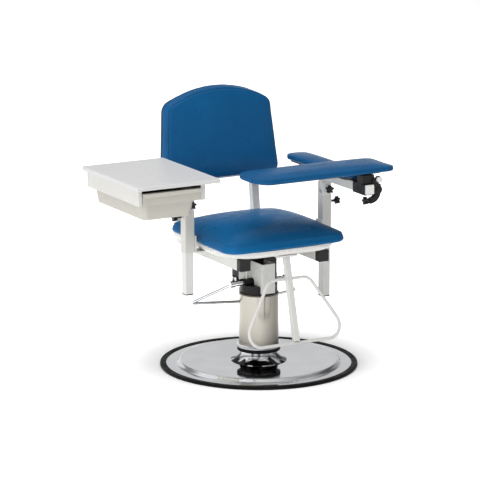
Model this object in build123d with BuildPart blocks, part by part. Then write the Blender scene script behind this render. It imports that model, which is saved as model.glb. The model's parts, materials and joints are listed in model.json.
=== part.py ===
from build123d import *
from math import cos, radians, sin
import os

os.makedirs("parts", exist_ok=True)

# Hydraulic blood-drawing chair, millimetres.
# +Z is up, the patient faces -Y and +X is the patient's left.
# The origin is on the floor, on the axis of the round base.

# ---- round base ----
BASE_RADIUS = 317.5
RING_LIP_RADIUS = 298.0
RING_HEIGHT = 10.5
FOOT_PLATE_RADIUS = 291.5
FOOT_PLATE_THICK = 5.5
PLATEAU_RADIUS = 250.0
PLATEAU_HEIGHT = 16.0
PLATEAU_RIM = 20.0
PLATEAU_FLAT = 94.0
SHEET = 2.0

# ---- lifting column ----
SHROUD_RADIUS = 63.6
SHROUD_WALL = 1.5
SHROUD_BOTTOM = 62.0
SHROUD_TOP = 235.0
COLLAR_RADIUS = 69.3
BELL_TOP_RADIUS = 57.0
BELL_FOOT_RADIUS = 90.0
BELL_TOP = 50.0
SOCKET_RADIUS = 51.5
SOCKET_BORE = 47.5
RAM_RADIUS = 46.0
RAM_BORE = 38.0
RUN = 0.05
BUSH_BOTTOM = 205.0
BUSH_TOP = 239.5
RAM_TOP = 241.0
PUMP_BOTTOM = 243.0

# ---- pump head and foot bar ----
PUMP_RADIUS = 60.0
PUMP_TOP = 268.0
BLOCK_TOP = 298.0
PIVOT_HEIGHT = 274.0
PIVOT_SHAFT_RADIUS = 8.0
PIVOT_SHAFT_HALF = 105.0
HUB_RADIUS = 13.0
BAR_RADIUS = 4.5
BAR_CORNER = (196.0, 99.0, 202.0)
BAR_SAG = 17.0
COVER_HALF = 24.0
COVER_FRONT = -65.0
COVER_BACK = 6.0
COVER_TOP = 342.0
SADDLE_HALF = 70.0
SADDLE_THICK = 9.0
SADDLE_FRONT = 8.0
SADDLE_BACK = 50.0

# ---- seat frame ----
RAIL_SIDE = 38.1
RAIL_WALL = 2.5
RAIL_X = 142.0
RAIL_BOTTOM = 356.0
RAIL_FRONT = -146.0
RAIL_REAR = 205.0
CAP_LENGTH = 20.0
MOUNT_PLATE_THICK = 6.0
LEG_X = 250.2
LEG_Y = 13.7
SLEEVE_SIDE = 33.0
LEG_SIDE = 28.0
SLEEVE_HOLE = 28.4
SLEEVE_BOTTOM = 394.3
SLEEVE_TOP = 527.6
BRACKET_THICK = 4.4
BRACKET_STRAP = 2.6

# ---- seat ----
PAN_BOTTOM = 397.0
PAN_TOP = 418.0
PAN_WALL = 2.5
PAN_INSET = 12.0
PAN_CORNER = 116.0
SEAT_FRONT = -205.0
SEAT_REAR = 224.0
SEAT_HALF_FRONT = 226.0
SEAT_HALF_REAR = 214.0
SEAT_CORNER = 58.0
CUSHION_TOP = 470.0
CUSHION_ROUND = 26.0
CUSHION_FOOT_ROUND = 13.0

# ---- backrest ----
RECLINE = 6.7
BACK_FOOT = (0.0, 225.0, 563.0)
BACK_HALF_FOOT = 217.0
BACK_HALF_SHOULDER = 196.5
BACK_SHOULDER = 255.0
BACK_CREST = 311.0
BACK_PAD_THICK = 42.0
BACK_BOARD_THICK = 12.0
UPRIGHT_SIDE = 25.4
UPRIGHT_HOLE = 21.4
UPRIGHT_START = 120.0
UPRIGHT_BEND = 30.0
BUSH_FLANGE = 5.0
BUSH_SPIGOT = 20.0

# ---- footrest ----
STEP_TOP = (0.0, -172.0, 397.0)
STEP_FOOT = (0.0, -240.0, 130.0)
STEP_ROD = 5.0

# ---- arm posts and pivots ----
CLEVIS_BOTTOM = 528.1
CLEVIS_FLOOR = 534.0
TILT_HEIGHT = 551.0
TONGUE_HALF = 9.0
TONGUE_RADIUS = 14.5
STUD_RADIUS = 4.0
HEIGHT_KNOB_Z = 505.0
TRAY_KNOB_Z = 511.0
TRAY_POST_FOOT = 257.0
ARM_POST_FOOT = 193.0

# ---- right arm and flip arm ----
ARM_TUBE = 30.0
ARM_TUBE_BOTTOM = 580.0
ARM_TUBE_FRONT = -264.0
ARM_TUBE_REAR = 150.0
ARM_BOARD_BOTTOM = 610.3
ARM_BOARD_TOP = 617.0
ARMREST_TOP = 637.0
CLAMP_WALL = 3.0
FLIP_X = 283.0
FLIP_Z = 592.0
KNUCKLE_RADIUS = 14.0
FLIP_PIN_RADIUS = 5.0
FLIP_BOARD_BOTTOM = 640.8
FLIP_PAD_BOTTOM = 646.0
FLIP_PAD_TOP = 666.0

# ---- tray and drawer ----
TRAY_LEFT = -523.0
TRAY_RIGHT = -234.0
TRAY_FRONT = -177.0
TRAY_BACK = 209.0
TRAY_BOTTOM = 651.0
TRAY_TOP = 663.0
CASE_LEFT = -513.0
CASE_RIGHT = -283.0
CASE_FRONT = -166.0
CASE_BACK = 190.0
CASE_BOTTOM = 601.0
CASE_WALL = 1.5
DRAWER_RIM = 640.0
DRAWER_FLOOR = 553.0
DRAWER_WALL = 2.5

# ---- shared hardware ----
M8_RADIUS = 4.0
M8_HOLE = 4.2
M8_HEAD_ACROSS = 13.0
M8_HEAD_HIGH = 5.3
KNOB_THICK = 12.0

# ---- base details ----
COVER_RIM_RADIUS = 300.0
COVER_RIM_TOP = 8.0
COVER_STEP_RADIUS = 267.0
STEP_FOOT_HEIGHT = 9.0
COVER_HOLE_RADIUS = 72.0
BASE_BOLT_CIRCLE = 122.0
SOCKET_FLANGE_RADIUS = 70.0
SOCKET_FLANGE_THICK = 8.0
TRIM_RING_HEIGHT = 12.0
RAM_FOOT = 40.0
PISTON_HEIGHT = 15.0
SPIGOT_LENGTH = 55.0

# ---- pump head details ----
COVER_BOTTOM = 245.5
BLOCK_HALF = 60.8
HUB_HALF = 58.0
FLANGE_WINDOW = 41.0
COLLAR_LENGTH = 15.0
SADDLE_FOOT = 272.0
APRON_DEPTH = 36.0
SADDLE_BOLTS = [(20.0, 285.0), (40.0, 285.0)]
MOUNT_BOLTS = [(-32.0, 30.0), (32.0, 30.0)]
MOUNT_PLATE_FRONT = -10.0
MOUNT_PLATE_BACK = 95.0

# ---- frame details ----
RAIL_MIDDLE = RAIL_BOTTOM + RAIL_SIDE / 2
RAIL_TOP = RAIL_BOTTOM + RAIL_SIDE
RAIL_INSIDE = RAIL_SIDE - 2 * RAIL_WALL
BRACKET_WIDE = 40.0
BRACKET_TOP = 448.0
WELD_NUT = 6.0
POST_HOLE = LEG_SIDE - 4.0
FOOT_PLUG = 3.5
SEAT_BOLTS = [(-RAIL_X, -105.0), (RAIL_X, -105.0), (-RAIL_X, 150.0), (RAIL_X, 150.0)]
STEP_BOLTS = [(-26.0, -168.0), (26.0, -168.0)]
STEP_PLATE_BOTTOM = 391.6
BOARD_THICK = 18.2

# ---- backrest details ----
BACK_FOOT_CORNER = 34.0
BACK_TOP_CORNER = 42.0
UPRIGHT_DEPTH = BACK_PAD_THICK + 0.3 + BACK_BOARD_THICK + 0.1 + UPRIGHT_SIDE / 2
UPRIGHT_TOP = 190.0
BACK_BOLTS = [(-RAIL_X, 40.0), (RAIL_X, 40.0), (-RAIL_X, 165.0), (RAIL_X, 165.0)]
back_up = Vector(0, sin(radians(RECLINE)), cos(radians(RECLINE)))
back_plane = Plane(origin=BACK_FOOT, x_dir=(1, 0, 0), z_dir=Vector(1, 0, 0).cross(back_up))
UPRIGHT_FOOT = (RAIL_MIDDLE - BACK_FOOT[2] + UPRIGHT_DEPTH * back_up.Y) / back_up.Z

# ---- footrest details ----
STEP_SIDE = 19.05
STEP_LENGTH = 300.0
STEP_BAR_HEIGHT = 198.0
STEP_HALF_TOP = 72.0
STEP_HALF_FOOT = 196.0
STEP_TOP_BEND = 38.0
STEP_FOOT_BEND = 42.0

# ---- clevis and knob details ----
CHEEK_INSIDE = 9.4
CLEVIS_RISE = 24.0
TILT_BOSS_RADIUS = 14.0
TILT_BOSS = 8.0
CLEVIS_SPIGOT = 26.0
KNOB_COLLAR = 3.0
KNOB_SIZE = 13.0
HEIGHT_KNOB_X = 291.0
HEIGHT_STUD = HEIGHT_KNOB_X - KNOB_COLLAR - LEG_X - LEG_SIDE / 2 - 0.3
TILT_KNOB_OUT = SLEEVE_SIDE / 2 + TILT_BOSS + KNOB_COLLAR + 0.5
TILT_STUD = SLEEVE_SIDE + TILT_BOSS - 4.0

# ---- right arm details ----
ARM_TUBE_HOLE = ARM_TUBE - 5.0
ARMREST_WIDE = 90.0
ARMREST_LONG = 403.0
CLAMP_FRONT = -261.0
CLAMP_BACK = -191.0
KNUCKLE_FRONT = -250.0
KNUCKLE_BACK = -236.0
PIN_FRONT = -263.5
PIN_BACK = -222.5
JAW_X = 262.0
JAW_Z = 584.0
JAW_RADIUS = 38.0
JAW_THICK = 18.0
SLEEVE_EDGE = 269.0
CLAMP_X = 253.0
CLAMP_Y = (KNUCKLE_FRONT + KNUCKLE_BACK) / 2
CLAMP_Z = 556.0
CLAMP_STUD = 20.0
FLIP_BOX_LEFT = 226.0
FLIP_BOX_RIGHT = 270.0
FLIP_BOX_BOTTOM = 614.0
FLIP_BOX_FRONT = -258.0
FLIP_BOX_BACK = -228.0
LOCK_X = 283.0
LOCK_Z = 625.0
LOCK_RADIUS = 8.5
LOCK_LENGTH = 13.0
LOCK_PIN = 12.0
LUG_RADIUS = 11.0
LUG_FRONT = -263.2
LUG_BACK = -257.0
FLIP_LEFT = -153.0
FLIP_RIGHT = 352.0
FLIP_FRONT = -271.0
FLIP_BACK = -96.0

# ---- tray details ----
BRACKET_WING = 75.0
FLANGE_LEFT = 10.0
FLANGE_RIGHT = 16.0
RUNNER_TOP = 620.0
TUB_LEFT = -497.0
TUB_RIGHT = -318.0
TUB_FRONT = -160.0
TUB_BACK = 172.0
TUB_TOP = 637.0
TUB_DRAFT = 8.0
STRIP_WIDE = 4.0
FRONT_LEFT = -500.5
FRONT_RIGHT = -300.5
FRONT_FACE = -170.0
FRONT_LIP = -177.0


def square_ring(side, hole, corner):
    """Section of a square tube, drawn into the sketch that is open."""
    RectangleRounded(side, side, corner)
    Rectangle(hole, hole, mode=Mode.SUBTRACT)


def hex_bolt(length):
    """M8 hexagon bolt: the head stands on XY and the shank points down."""
    with BuildPart() as bolt:
        with BuildSketch(Plane.XY):
            RegularPolygon(radius=M8_HEAD_ACROSS / 2, side_count=6, major_radius=False)
        extrude(amount=M8_HEAD_HIGH)
        chamfer(bolt.edges().group_by(Axis.Z)[-1], length=0.8)
        with BuildSketch(Plane.XY):
            Circle(M8_RADIUS)
        extrude(amount=-length)
    return bolt.part


def star_knob(size, stud_length):
    """Five-lobed knob: the lobes stand on XY, the collar and the stud point down."""
    with BuildPart() as knob:
        with BuildSketch(Plane.XY):
            Circle(0.62 * size)
            with PolarLocations(0.74 * size, 5, start_angle=18):
                Circle(0.27 * size)
        extrude(amount=KNOB_THICK)
        fillet(knob.edges().group_by(Axis.Z)[-1], radius=1.5)
        with BuildSketch(Plane.XY):
            Circle(0.5 * size)
        extrude(amount=-KNOB_COLLAR)
        with BuildSketch(Plane.XY.offset(-KNOB_COLLAR)):
            Circle(STUD_RADIUS)
        extrude(amount=-stud_length)
    return knob.part


def seat_plan(inset, front_corner, rear_corner):
    """Plan of the seat, a little narrower at the back, with rounded corners."""
    front = SEAT_FRONT + inset
    rear = SEAT_REAR - inset
    wide = SEAT_HALF_FRONT - inset
    narrow = SEAT_HALF_REAR - inset
    with BuildSketch() as plan:
        with BuildLine():
            Polyline((-wide, front), (wide, front), (narrow, rear), (-narrow, rear), close=True)
        make_face()
        fillet(plan.vertices().sort_by(Axis.Y)[:2], radius=front_corner)
        fillet(plan.vertices().sort_by(Axis.Y)[-2:], radius=rear_corner)
    return plan.sketch


def back_plan(inset):
    """Front view of the backrest: tapering sides and an arched top."""
    foot = BACK_HALF_FOOT - inset
    shoulder = BACK_HALF_SHOULDER - inset
    with BuildSketch() as plan:
        with BuildLine():
            Polyline((-shoulder, BACK_SHOULDER), (-foot, inset), (foot, inset), (shoulder, BACK_SHOULDER))
            ThreePointArc((shoulder, BACK_SHOULDER), (0, BACK_CREST - inset), (-shoulder, BACK_SHOULDER))
        make_face()
        fillet(plan.vertices().sort_by(Axis.Y)[:2], radius=BACK_FOOT_CORNER)
        fillet(plan.vertices().sort_by(Axis.Y)[-2:], radius=BACK_TOP_CORNER)
    return plan.sketch


def arm_clevis_blank():
    """Clevis for the top of an arm post, on the origin of its tilt axis."""
    floor = CLEVIS_FLOOR - TILT_HEIGHT
    foot = CLEVIS_BOTTOM - TILT_HEIGHT
    half = SLEEVE_SIDE / 2
    with BuildPart() as clevis:
        with BuildSketch(Plane.XY.offset(foot)):
            RectangleRounded(SLEEVE_SIDE, SLEEVE_SIDE, 2)
        extrude(amount=floor - foot)
        with BuildSketch(Plane.XY.offset(foot)):
            Rectangle(POST_HOLE - 0.2, POST_HOLE - 0.2)
        extrude(amount=-CLEVIS_SPIGOT)
        with BuildSketch(Plane.XY.offset(floor)):
            RectangleRounded(SLEEVE_SIDE, SLEEVE_SIDE, 2)
        extrude(amount=CLEVIS_RISE - floor)
        fillet(clevis.edges().group_by(Axis.Z)[-1].filter_by(Axis.Y), radius=7)
        with BuildSketch(Plane.XZ.offset(half)):
            Circle(TILT_BOSS_RADIUS)
        extrude(amount=TILT_BOSS)
        with BuildSketch(Plane.YZ.offset(-half)):
            with Locations((0, floor)):
                Rectangle(2 * CHEEK_INSIDE, 3 * SLEEVE_SIDE, align=(Align.CENTER, Align.MIN))
        extrude(amount=SLEEVE_SIDE, mode=Mode.SUBTRACT)
        with BuildSketch(Plane.XZ.offset(-half + 3)):
            Circle(STUD_RADIUS + RUN)
        extrude(amount=2 * SLEEVE_SIDE, mode=Mode.SUBTRACT)
    return clevis.part


def loop_plane(origin, top):
    """Plane through a leaning post: local x is +X, local y runs up the post."""
    lean = Vector(*top) - Vector(*origin)
    return Plane(origin=origin, x_dir=(1, 0, 0), z_dir=Vector(1, 0, 0).cross(lean))


# ---------------------------------------------------------------- round base

with BuildPart() as rubber_trim_ring:
    with BuildSketch(Plane.XZ) as ring_section:
        with BuildLine():
            Polyline(
                (FOOT_PLATE_RADIUS + 0.3, 0),
                (BASE_RADIUS, 0),
                (BASE_RADIUS, RING_HEIGHT),
                (RING_LIP_RADIUS, RING_HEIGHT - 0.6),
                (RING_LIP_RADIUS, COVER_RIM_TOP + 0.3),
                (COVER_RIM_RADIUS, COVER_RIM_TOP + 0.3),
                (COVER_RIM_RADIUS, COVER_RIM_TOP - SHEET),
                (FOOT_PLATE_RADIUS + 0.3, COVER_RIM_TOP - SHEET),
                close=True,
            )
        make_face()
        fillet(ring_section.vertices().sort_by(Axis.X)[-2:], radius=4)
    revolve(axis=Axis.Z)
rubber_trim_ring.part.label = "rubber_trim_ring"
export_step(rubber_trim_ring.part, "parts/rubber_trim_ring.step")

with BuildPart() as base_plate:
    with BuildSketch(Plane.XY):
        Circle(FOOT_PLATE_RADIUS)
    extrude(amount=FOOT_PLATE_THICK)
    with Locations(base_plate.faces().sort_by(Axis.Z)[0]):
        with PolarLocations(BASE_BOLT_CIRCLE / 2, 4, start_angle=45):
            CounterSinkHole(radius=5.2, counter_sink_radius=9.2)
base_plate.part.label = "base_plate"
export_step(base_plate.part, "parts/base_plate.step")

with BuildPart() as base_bolt:
    with BuildSketch(Plane.XZ):
        with BuildLine():
            Polyline((0, 0.5), (8.4, 0.5), (4.9, 4.5), (4.9, 12), (0, 12), close=True)
        make_face()
    revolve(axis=Axis.Z)
    with BuildSketch(Plane.XY):
        RegularPolygon(radius=3, side_count=6)
    extrude(amount=3, mode=Mode.SUBTRACT)

with BuildPart() as base_bolts:
    with PolarLocations(BASE_BOLT_CIRCLE / 2, 4, start_angle=45):
        add(base_bolt.part)
base_bolts.part.label = "base_bolts"
export_step(base_bolts.part, "parts/base_bolts.step")

with BuildPart() as base_cover:
    with BuildSketch(Plane.XZ):
        with BuildLine():
            Line((COVER_RIM_RADIUS - 0.2, COVER_RIM_TOP), (COVER_STEP_RADIUS, STEP_FOOT_HEIGHT))
            Bezier(
                (COVER_STEP_RADIUS, STEP_FOOT_HEIGHT),
                (COVER_STEP_RADIUS - 9, STEP_FOOT_HEIGHT),
                (PLATEAU_RADIUS + 8, PLATEAU_RIM),
                (PLATEAU_RADIUS, PLATEAU_RIM),
            )
            Polyline(
                (PLATEAU_RADIUS, PLATEAU_RIM),
                (PLATEAU_FLAT, PLATEAU_HEIGHT),
                (COVER_HOLE_RADIUS, PLATEAU_HEIGHT),
                (COVER_HOLE_RADIUS, PLATEAU_HEIGHT - SHEET),
                (PLATEAU_FLAT, PLATEAU_HEIGHT - SHEET),
                (PLATEAU_RADIUS - 1, PLATEAU_RIM - SHEET),
            )
            Bezier(
                (PLATEAU_RADIUS - 1, PLATEAU_RIM - SHEET),
                (PLATEAU_RADIUS + 6, PLATEAU_RIM - SHEET),
                (COVER_STEP_RADIUS - 11, STEP_FOOT_HEIGHT - SHEET),
                (COVER_STEP_RADIUS - 1, STEP_FOOT_HEIGHT - SHEET),
            )
            Line(
                (COVER_STEP_RADIUS - 1, STEP_FOOT_HEIGHT - SHEET),
                (COVER_RIM_RADIUS - 0.2, COVER_RIM_TOP - SHEET),
            )
            Line(
                (COVER_RIM_RADIUS - 0.2, COVER_RIM_TOP - SHEET),
                (COVER_RIM_RADIUS - 0.2, COVER_RIM_TOP),
            )
        make_face()
    revolve(axis=Axis.Z)
base_cover.part.label = "base_cover"
export_step(base_cover.part, "parts/base_cover.step")

with BuildPart() as column_socket:
    with BuildSketch(Plane.XY.offset(FOOT_PLATE_THICK)):
        Circle(SOCKET_FLANGE_RADIUS)
    extrude(amount=SOCKET_FLANGE_THICK)
    with BuildSketch(Plane.XY.offset(FOOT_PLATE_THICK)):
        Circle(SOCKET_RADIUS)
    extrude(amount=BUSH_BOTTOM - FOOT_PLATE_THICK)
    with BuildSketch(Plane.XY.offset(FOOT_PLATE_THICK + SOCKET_FLANGE_THICK)):
        Circle(SOCKET_BORE)
    extrude(amount=BUSH_BOTTOM, mode=Mode.SUBTRACT)
    with BuildSketch(Plane.XY.offset(FOOT_PLATE_THICK)):
        with PolarLocations(BASE_BOLT_CIRCLE / 2, 4, start_angle=45):
            Circle(5.1)
    extrude(amount=SOCKET_FLANGE_THICK - 1, mode=Mode.SUBTRACT)
column_socket.part.label = "column_socket"
export_step(column_socket.part, "parts/column_socket.step")

with BuildPart() as base_bell:
    with BuildSketch(Plane.XZ):
        with BuildLine():
            Line((BELL_TOP_RADIUS, BELL_TOP), (SOCKET_RADIUS + 0.3, BELL_TOP))
            Line((SOCKET_RADIUS + 0.3, BELL_TOP), (SOCKET_RADIUS + 0.3, PLATEAU_HEIGHT + 0.1))
            Line(
                (SOCKET_RADIUS + 0.3, PLATEAU_HEIGHT + 0.1),
                (BELL_FOOT_RADIUS, PLATEAU_HEIGHT + 0.1),
            )
            Line(
                (BELL_FOOT_RADIUS, PLATEAU_HEIGHT + 0.1),
                (BELL_FOOT_RADIUS, PLATEAU_HEIGHT + 1.5),
            )
            Bezier(
                (BELL_FOOT_RADIUS, PLATEAU_HEIGHT + 1.5),
                (BELL_TOP_RADIUS + 9, PLATEAU_HEIGHT + 10),
                (BELL_TOP_RADIUS + 1, BELL_TOP - 14),
                (BELL_TOP_RADIUS, BELL_TOP),
            )
        make_face()
    revolve(axis=Axis.Z)
base_bell.part.label = "base_bell"
export_step(base_bell.part, "parts/base_bell.step")

# ------------------------------------------------------------- lifting column

with BuildPart() as column_seal_ring:
    with BuildSketch(Plane.XY.offset(BELL_TOP)):
        Circle(COLLAR_RADIUS)
        Circle(SOCKET_RADIUS + 0.3, mode=Mode.SUBTRACT)
    extrude(amount=SHROUD_BOTTOM - BELL_TOP)
    fillet(column_seal_ring.edges().filter_by(GeomType.CIRCLE).sort_by(SortBy.RADIUS)[-2:], radius=2)
column_seal_ring.part.label = "column_seal_ring"
export_step(column_seal_ring.part, "parts/column_seal_ring.step")

with BuildPart() as column_trim_ring:
    with BuildSketch(Plane.XY.offset(SHROUD_BOTTOM)):
        Circle(COLLAR_RADIUS)
        Circle(SHROUD_RADIUS + 0.1, mode=Mode.SUBTRACT)
    extrude(amount=TRIM_RING_HEIGHT)
    fillet(column_trim_ring.edges().group_by(Axis.Z)[-1].sort_by(SortBy.RADIUS)[-1], radius=2.5)
column_trim_ring.part.label = "column_trim_ring"
export_step(column_trim_ring.part, "parts/column_trim_ring.step")

with BuildPart() as column_shroud:
    with BuildSketch(Plane.XY.offset(SHROUD_BOTTOM)):
        Circle(SHROUD_RADIUS)
        Circle(SHROUD_RADIUS - SHROUD_WALL, mode=Mode.SUBTRACT)
    extrude(amount=SHROUD_TOP - SHROUD_BOTTOM)
column_shroud.part.label = "column_shroud"
export_step(column_shroud.part, "parts/column_shroud.step")

with BuildPart() as guide_bush:
    with BuildSketch(Plane.XY.offset(BUSH_BOTTOM)):
        Circle(SHROUD_RADIUS - SHROUD_WALL - 0.2)
    extrude(amount=SHROUD_TOP - BUSH_BOTTOM)
    with BuildSketch(Plane.XY.offset(SHROUD_TOP)):
        Circle(SHROUD_RADIUS)
    extrude(amount=BUSH_TOP - SHROUD_TOP)
    with BuildSketch(Plane.XY.offset(BUSH_BOTTOM)):
        Circle(RAM_RADIUS + RUN)
    extrude(amount=BUSH_TOP - BUSH_BOTTOM, mode=Mode.SUBTRACT)
guide_bush.part.label = "guide_bush"
export_step(guide_bush.part, "parts/guide_bush.step")

with BuildPart() as lift_ram:
    with BuildSketch(Plane.XY.offset(RAM_FOOT)):
        Circle(SOCKET_BORE - 0.3)
    extrude(amount=PISTON_HEIGHT)
    with BuildSketch(Plane.XY.offset(RAM_FOOT)):
        Circle(RAM_RADIUS)
    extrude(amount=RAM_TOP - RAM_FOOT)
    with BuildSketch(Plane.XY.offset(RAM_FOOT + PISTON_HEIGHT)):
        Circle(RAM_BORE)
    extrude(amount=RAM_TOP - RAM_FOOT, mode=Mode.SUBTRACT)
lift_ram.part.label = "lift_ram"
export_step(lift_ram.part, "parts/lift_ram.step")

with BuildPart() as thrust_washer:
    with BuildSketch(Plane.XY.offset(RAM_TOP)):
        Circle(RAM_RADIUS - 0.5)
        Circle(RAM_BORE + 0.5, mode=Mode.SUBTRACT)
    extrude(amount=PUMP_BOTTOM - RAM_TOP - 0.1)
thrust_washer.part.label = "thrust_washer"
export_step(thrust_washer.part, "parts/thrust_washer.step")

# ------------------------------------------------------------------ pump head

with BuildPart() as pump_body:
    with BuildSketch(Plane.XY.offset(PUMP_BOTTOM)):
        Circle(PUMP_RADIUS)
    extrude(amount=PUMP_TOP - PUMP_BOTTOM)
    with BuildSketch(Plane.XY.offset(PUMP_BOTTOM)):
        Circle(RAM_BORE - RUN)
    extrude(amount=-SPIGOT_LENGTH)
    with BuildSketch(Plane.XY.offset(PUMP_TOP)):
        with Locations((0, SADDLE_FRONT)):
            Rectangle(2 * BLOCK_HALF, SADDLE_BACK - SADDLE_FRONT, align=(Align.CENTER, Align.MIN))
    extrude(amount=BLOCK_TOP - PUMP_TOP)
    with BuildSketch(Plane.XY.offset(COVER_BOTTOM - 0.3)):
        with Locations((0, SADDLE_FRONT)):
            Rectangle(2 * COVER_HALF + 3, 2 * PUMP_RADIUS, align=(Align.CENTER, Align.MAX))
    extrude(amount=PUMP_TOP, mode=Mode.SUBTRACT)
    with BuildSketch(Plane.YZ):
        with Locations((0, PIVOT_HEIGHT)):
            Circle(HUB_RADIUS)
    extrude(amount=HUB_HALF, both=True)
    with BuildSketch(Plane.YZ):
        with Locations((0, PIVOT_HEIGHT)):
            Circle(PIVOT_SHAFT_RADIUS + RUN)
    extrude(amount=SADDLE_HALF, both=True, mode=Mode.SUBTRACT)
    with BuildSketch(Plane.YZ):
        with Locations(*SADDLE_BOLTS):
            Circle(M8_HOLE)
    extrude(amount=SADDLE_HALF, both=True, mode=Mode.SUBTRACT)
pump_body.part.label = "pump_body"
export_step(pump_body.part, "parts/pump_body.step")

with BuildPart() as pump_cover:
    with BuildSketch(Plane.XY.offset(COVER_BOTTOM)) as cover_section:
        with Locations((0, COVER_FRONT)):
            Rectangle(2 * COVER_HALF, COVER_BACK - COVER_FRONT, align=(Align.CENTER, Align.MIN))
        fillet(cover_section.vertices().sort_by(Axis.Y)[:2], radius=3)
        with Locations((0, COVER_FRONT + SHEET)):
            Rectangle(
                2 * (COVER_HALF - SHEET),
                2 * PUMP_RADIUS,
                align=(Align.CENTER, Align.MIN),
                mode=Mode.SUBTRACT,
            )
        with Locations((-COVER_HALF, COVER_BACK)):
            Rectangle(SADDLE_HALF - COVER_HALF, SHEET, align=(Align.MAX, Align.MAX))
    extrude(amount=COVER_TOP - COVER_BOTTOM)
    with BuildSketch(Plane.XZ.offset(-COVER_BACK)):
        with Locations((-COVER_HALF - 1, COVER_BOTTOM)):
            Rectangle(FLANGE_WINDOW, PUMP_TOP + 0.5 - COVER_BOTTOM, align=(Align.MAX, Align.MIN))
    extrude(amount=2 * SHEET, mode=Mode.SUBTRACT)
    with BuildSketch(Plane.YZ):
        with Locations((0, PIVOT_HEIGHT)):
            Circle(HUB_RADIUS + 0.5)
    extrude(amount=SADDLE_HALF, both=True, mode=Mode.SUBTRACT)
pump_cover.part.label = "pump_cover"
export_step(pump_cover.part, "parts/pump_cover.step")

with BuildPart() as saddle_bracket:
    with BuildSketch(Plane.XZ.offset(-SADDLE_BACK)) as saddle_section:
        with Locations((0, RAIL_BOTTOM)):
            Rectangle(2 * SADDLE_HALF, RAIL_BOTTOM - SADDLE_FOOT, align=(Align.CENTER, Align.MAX))
        fillet(saddle_section.vertices().sort_by(Axis.Y)[-2:], radius=18)
        with Locations((0, RAIL_BOTTOM - SADDLE_THICK)):
            Rectangle(
                2 * (SADDLE_HALF - SADDLE_THICK),
                RAIL_BOTTOM - SADDLE_FOOT,
                align=(Align.CENTER, Align.MAX),
                mode=Mode.SUBTRACT,
            )
    extrude(amount=SADDLE_BACK - SADDLE_FRONT)
    with BuildSketch(Plane.XZ.offset(-SADDLE_FRONT - 6)):
        with Locations((0, RAIL_BOTTOM - 2)):
            Rectangle(2 * SADDLE_HALF - SADDLE_THICK, APRON_DEPTH, align=(Align.CENTER, Align.MAX))
    extrude(amount=6)
    with BuildSketch(Plane.XY.offset(RAIL_BOTTOM)):
        with Locations(*MOUNT_BOLTS):
            Circle(M8_HOLE)
    extrude(amount=-SADDLE_THICK, mode=Mode.SUBTRACT)
    with BuildSketch(Plane.YZ):
        with Locations(*SADDLE_BOLTS):
            Circle(M8_HOLE)
    extrude(amount=SADDLE_HALF, both=True, mode=Mode.SUBTRACT)
saddle_bracket.part.label = "saddle_bracket"
export_step(saddle_bracket.part, "parts/saddle_bracket.step")

with BuildPart() as mount_plate:
    with BuildSketch(Plane.XY.offset(RAIL_BOTTOM + 0.1)):
        with Locations((0, MOUNT_PLATE_FRONT)):
            Rectangle(
                2 * (RAIL_X - RAIL_SIDE / 2) - 0.2,
                MOUNT_PLATE_BACK - MOUNT_PLATE_FRONT,
                align=(Align.CENTER, Align.MIN),
            )
        with Locations(*MOUNT_BOLTS):
            Circle(M8_HOLE, mode=Mode.SUBTRACT)
    extrude(amount=MOUNT_PLATE_THICK)
mount_plate.part.label = "mount_plate"
export_step(mount_plate.part, "parts/mount_plate.step")

with BuildPart() as valve_rod:
    with BuildSketch(Plane.XY.offset(PIVOT_HEIGHT + HUB_RADIUS)):
        with Locations((-47, -2)):
            Circle(2.2)
    extrude(amount=RAIL_BOTTOM - PIVOT_HEIGHT - HUB_RADIUS)
    with BuildSketch(Plane.XY.offset(PIVOT_HEIGHT + HUB_RADIUS + 26)):
        with Locations((-47, -2)):
            RegularPolygon(radius=4, side_count=6)
    extrude(amount=6)
valve_rod.part.label = "valve_rod"
export_step(valve_rod.part, "parts/valve_rod.step")

with BuildPart() as pump_shaft:
    with BuildSketch(Plane.YZ):
        with Locations((0, PIVOT_HEIGHT)):
            Circle(PIVOT_SHAFT_RADIUS)
    extrude(amount=PIVOT_SHAFT_HALF, both=True)
    chamfer(pump_shaft.edges().filter_by(GeomType.CIRCLE), length=1)
pump_shaft.part.label = "pump_shaft"
export_step(pump_shaft.part, "parts/pump_shaft.step")

with BuildPart() as pump_bar:
    with BuildLine() as bar_path:
        FilletPolyline(
            (-PIVOT_SHAFT_HALF + COLLAR_LENGTH / 2, 0, PIVOT_HEIGHT),
            (-BAR_CORNER[0], BAR_CORNER[1], BAR_CORNER[2]),
            (0, BAR_CORNER[1], BAR_CORNER[2] - BAR_SAG),
            (BAR_CORNER[0], BAR_CORNER[1], BAR_CORNER[2]),
            (PIVOT_SHAFT_HALF - COLLAR_LENGTH / 2, 0, PIVOT_HEIGHT),
            radius=[8, 600, 8],
        )
    with BuildSketch(Plane(origin=bar_path.line @ 0, z_dir=bar_path.line % 0)):
        Circle(BAR_RADIUS)
    sweep()
    with BuildSketch(Plane.YZ):
        with Locations((0, PIVOT_HEIGHT)):
            Circle(PIVOT_SHAFT_RADIUS + 3)
    extrude(amount=PIVOT_SHAFT_HALF + 2, both=True)
    with BuildSketch(Plane.YZ):
        with Locations((0, PIVOT_HEIGHT)):
            Circle(4 * PIVOT_SHAFT_RADIUS)
    extrude(amount=PIVOT_SHAFT_HALF - COLLAR_LENGTH, both=True, mode=Mode.SUBTRACT)
    with BuildSketch(Plane.YZ):
        with Locations((0, PIVOT_HEIGHT)):
            Circle(PIVOT_SHAFT_RADIUS + 0.02)
    extrude(amount=PIVOT_SHAFT_HALF + 0.02, both=True, mode=Mode.SUBTRACT)
pump_bar.part.label = "pump_bar"
export_step(pump_bar.part, "parts/pump_bar.step")

# ----------------------------------------------------------------- seat frame

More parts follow.
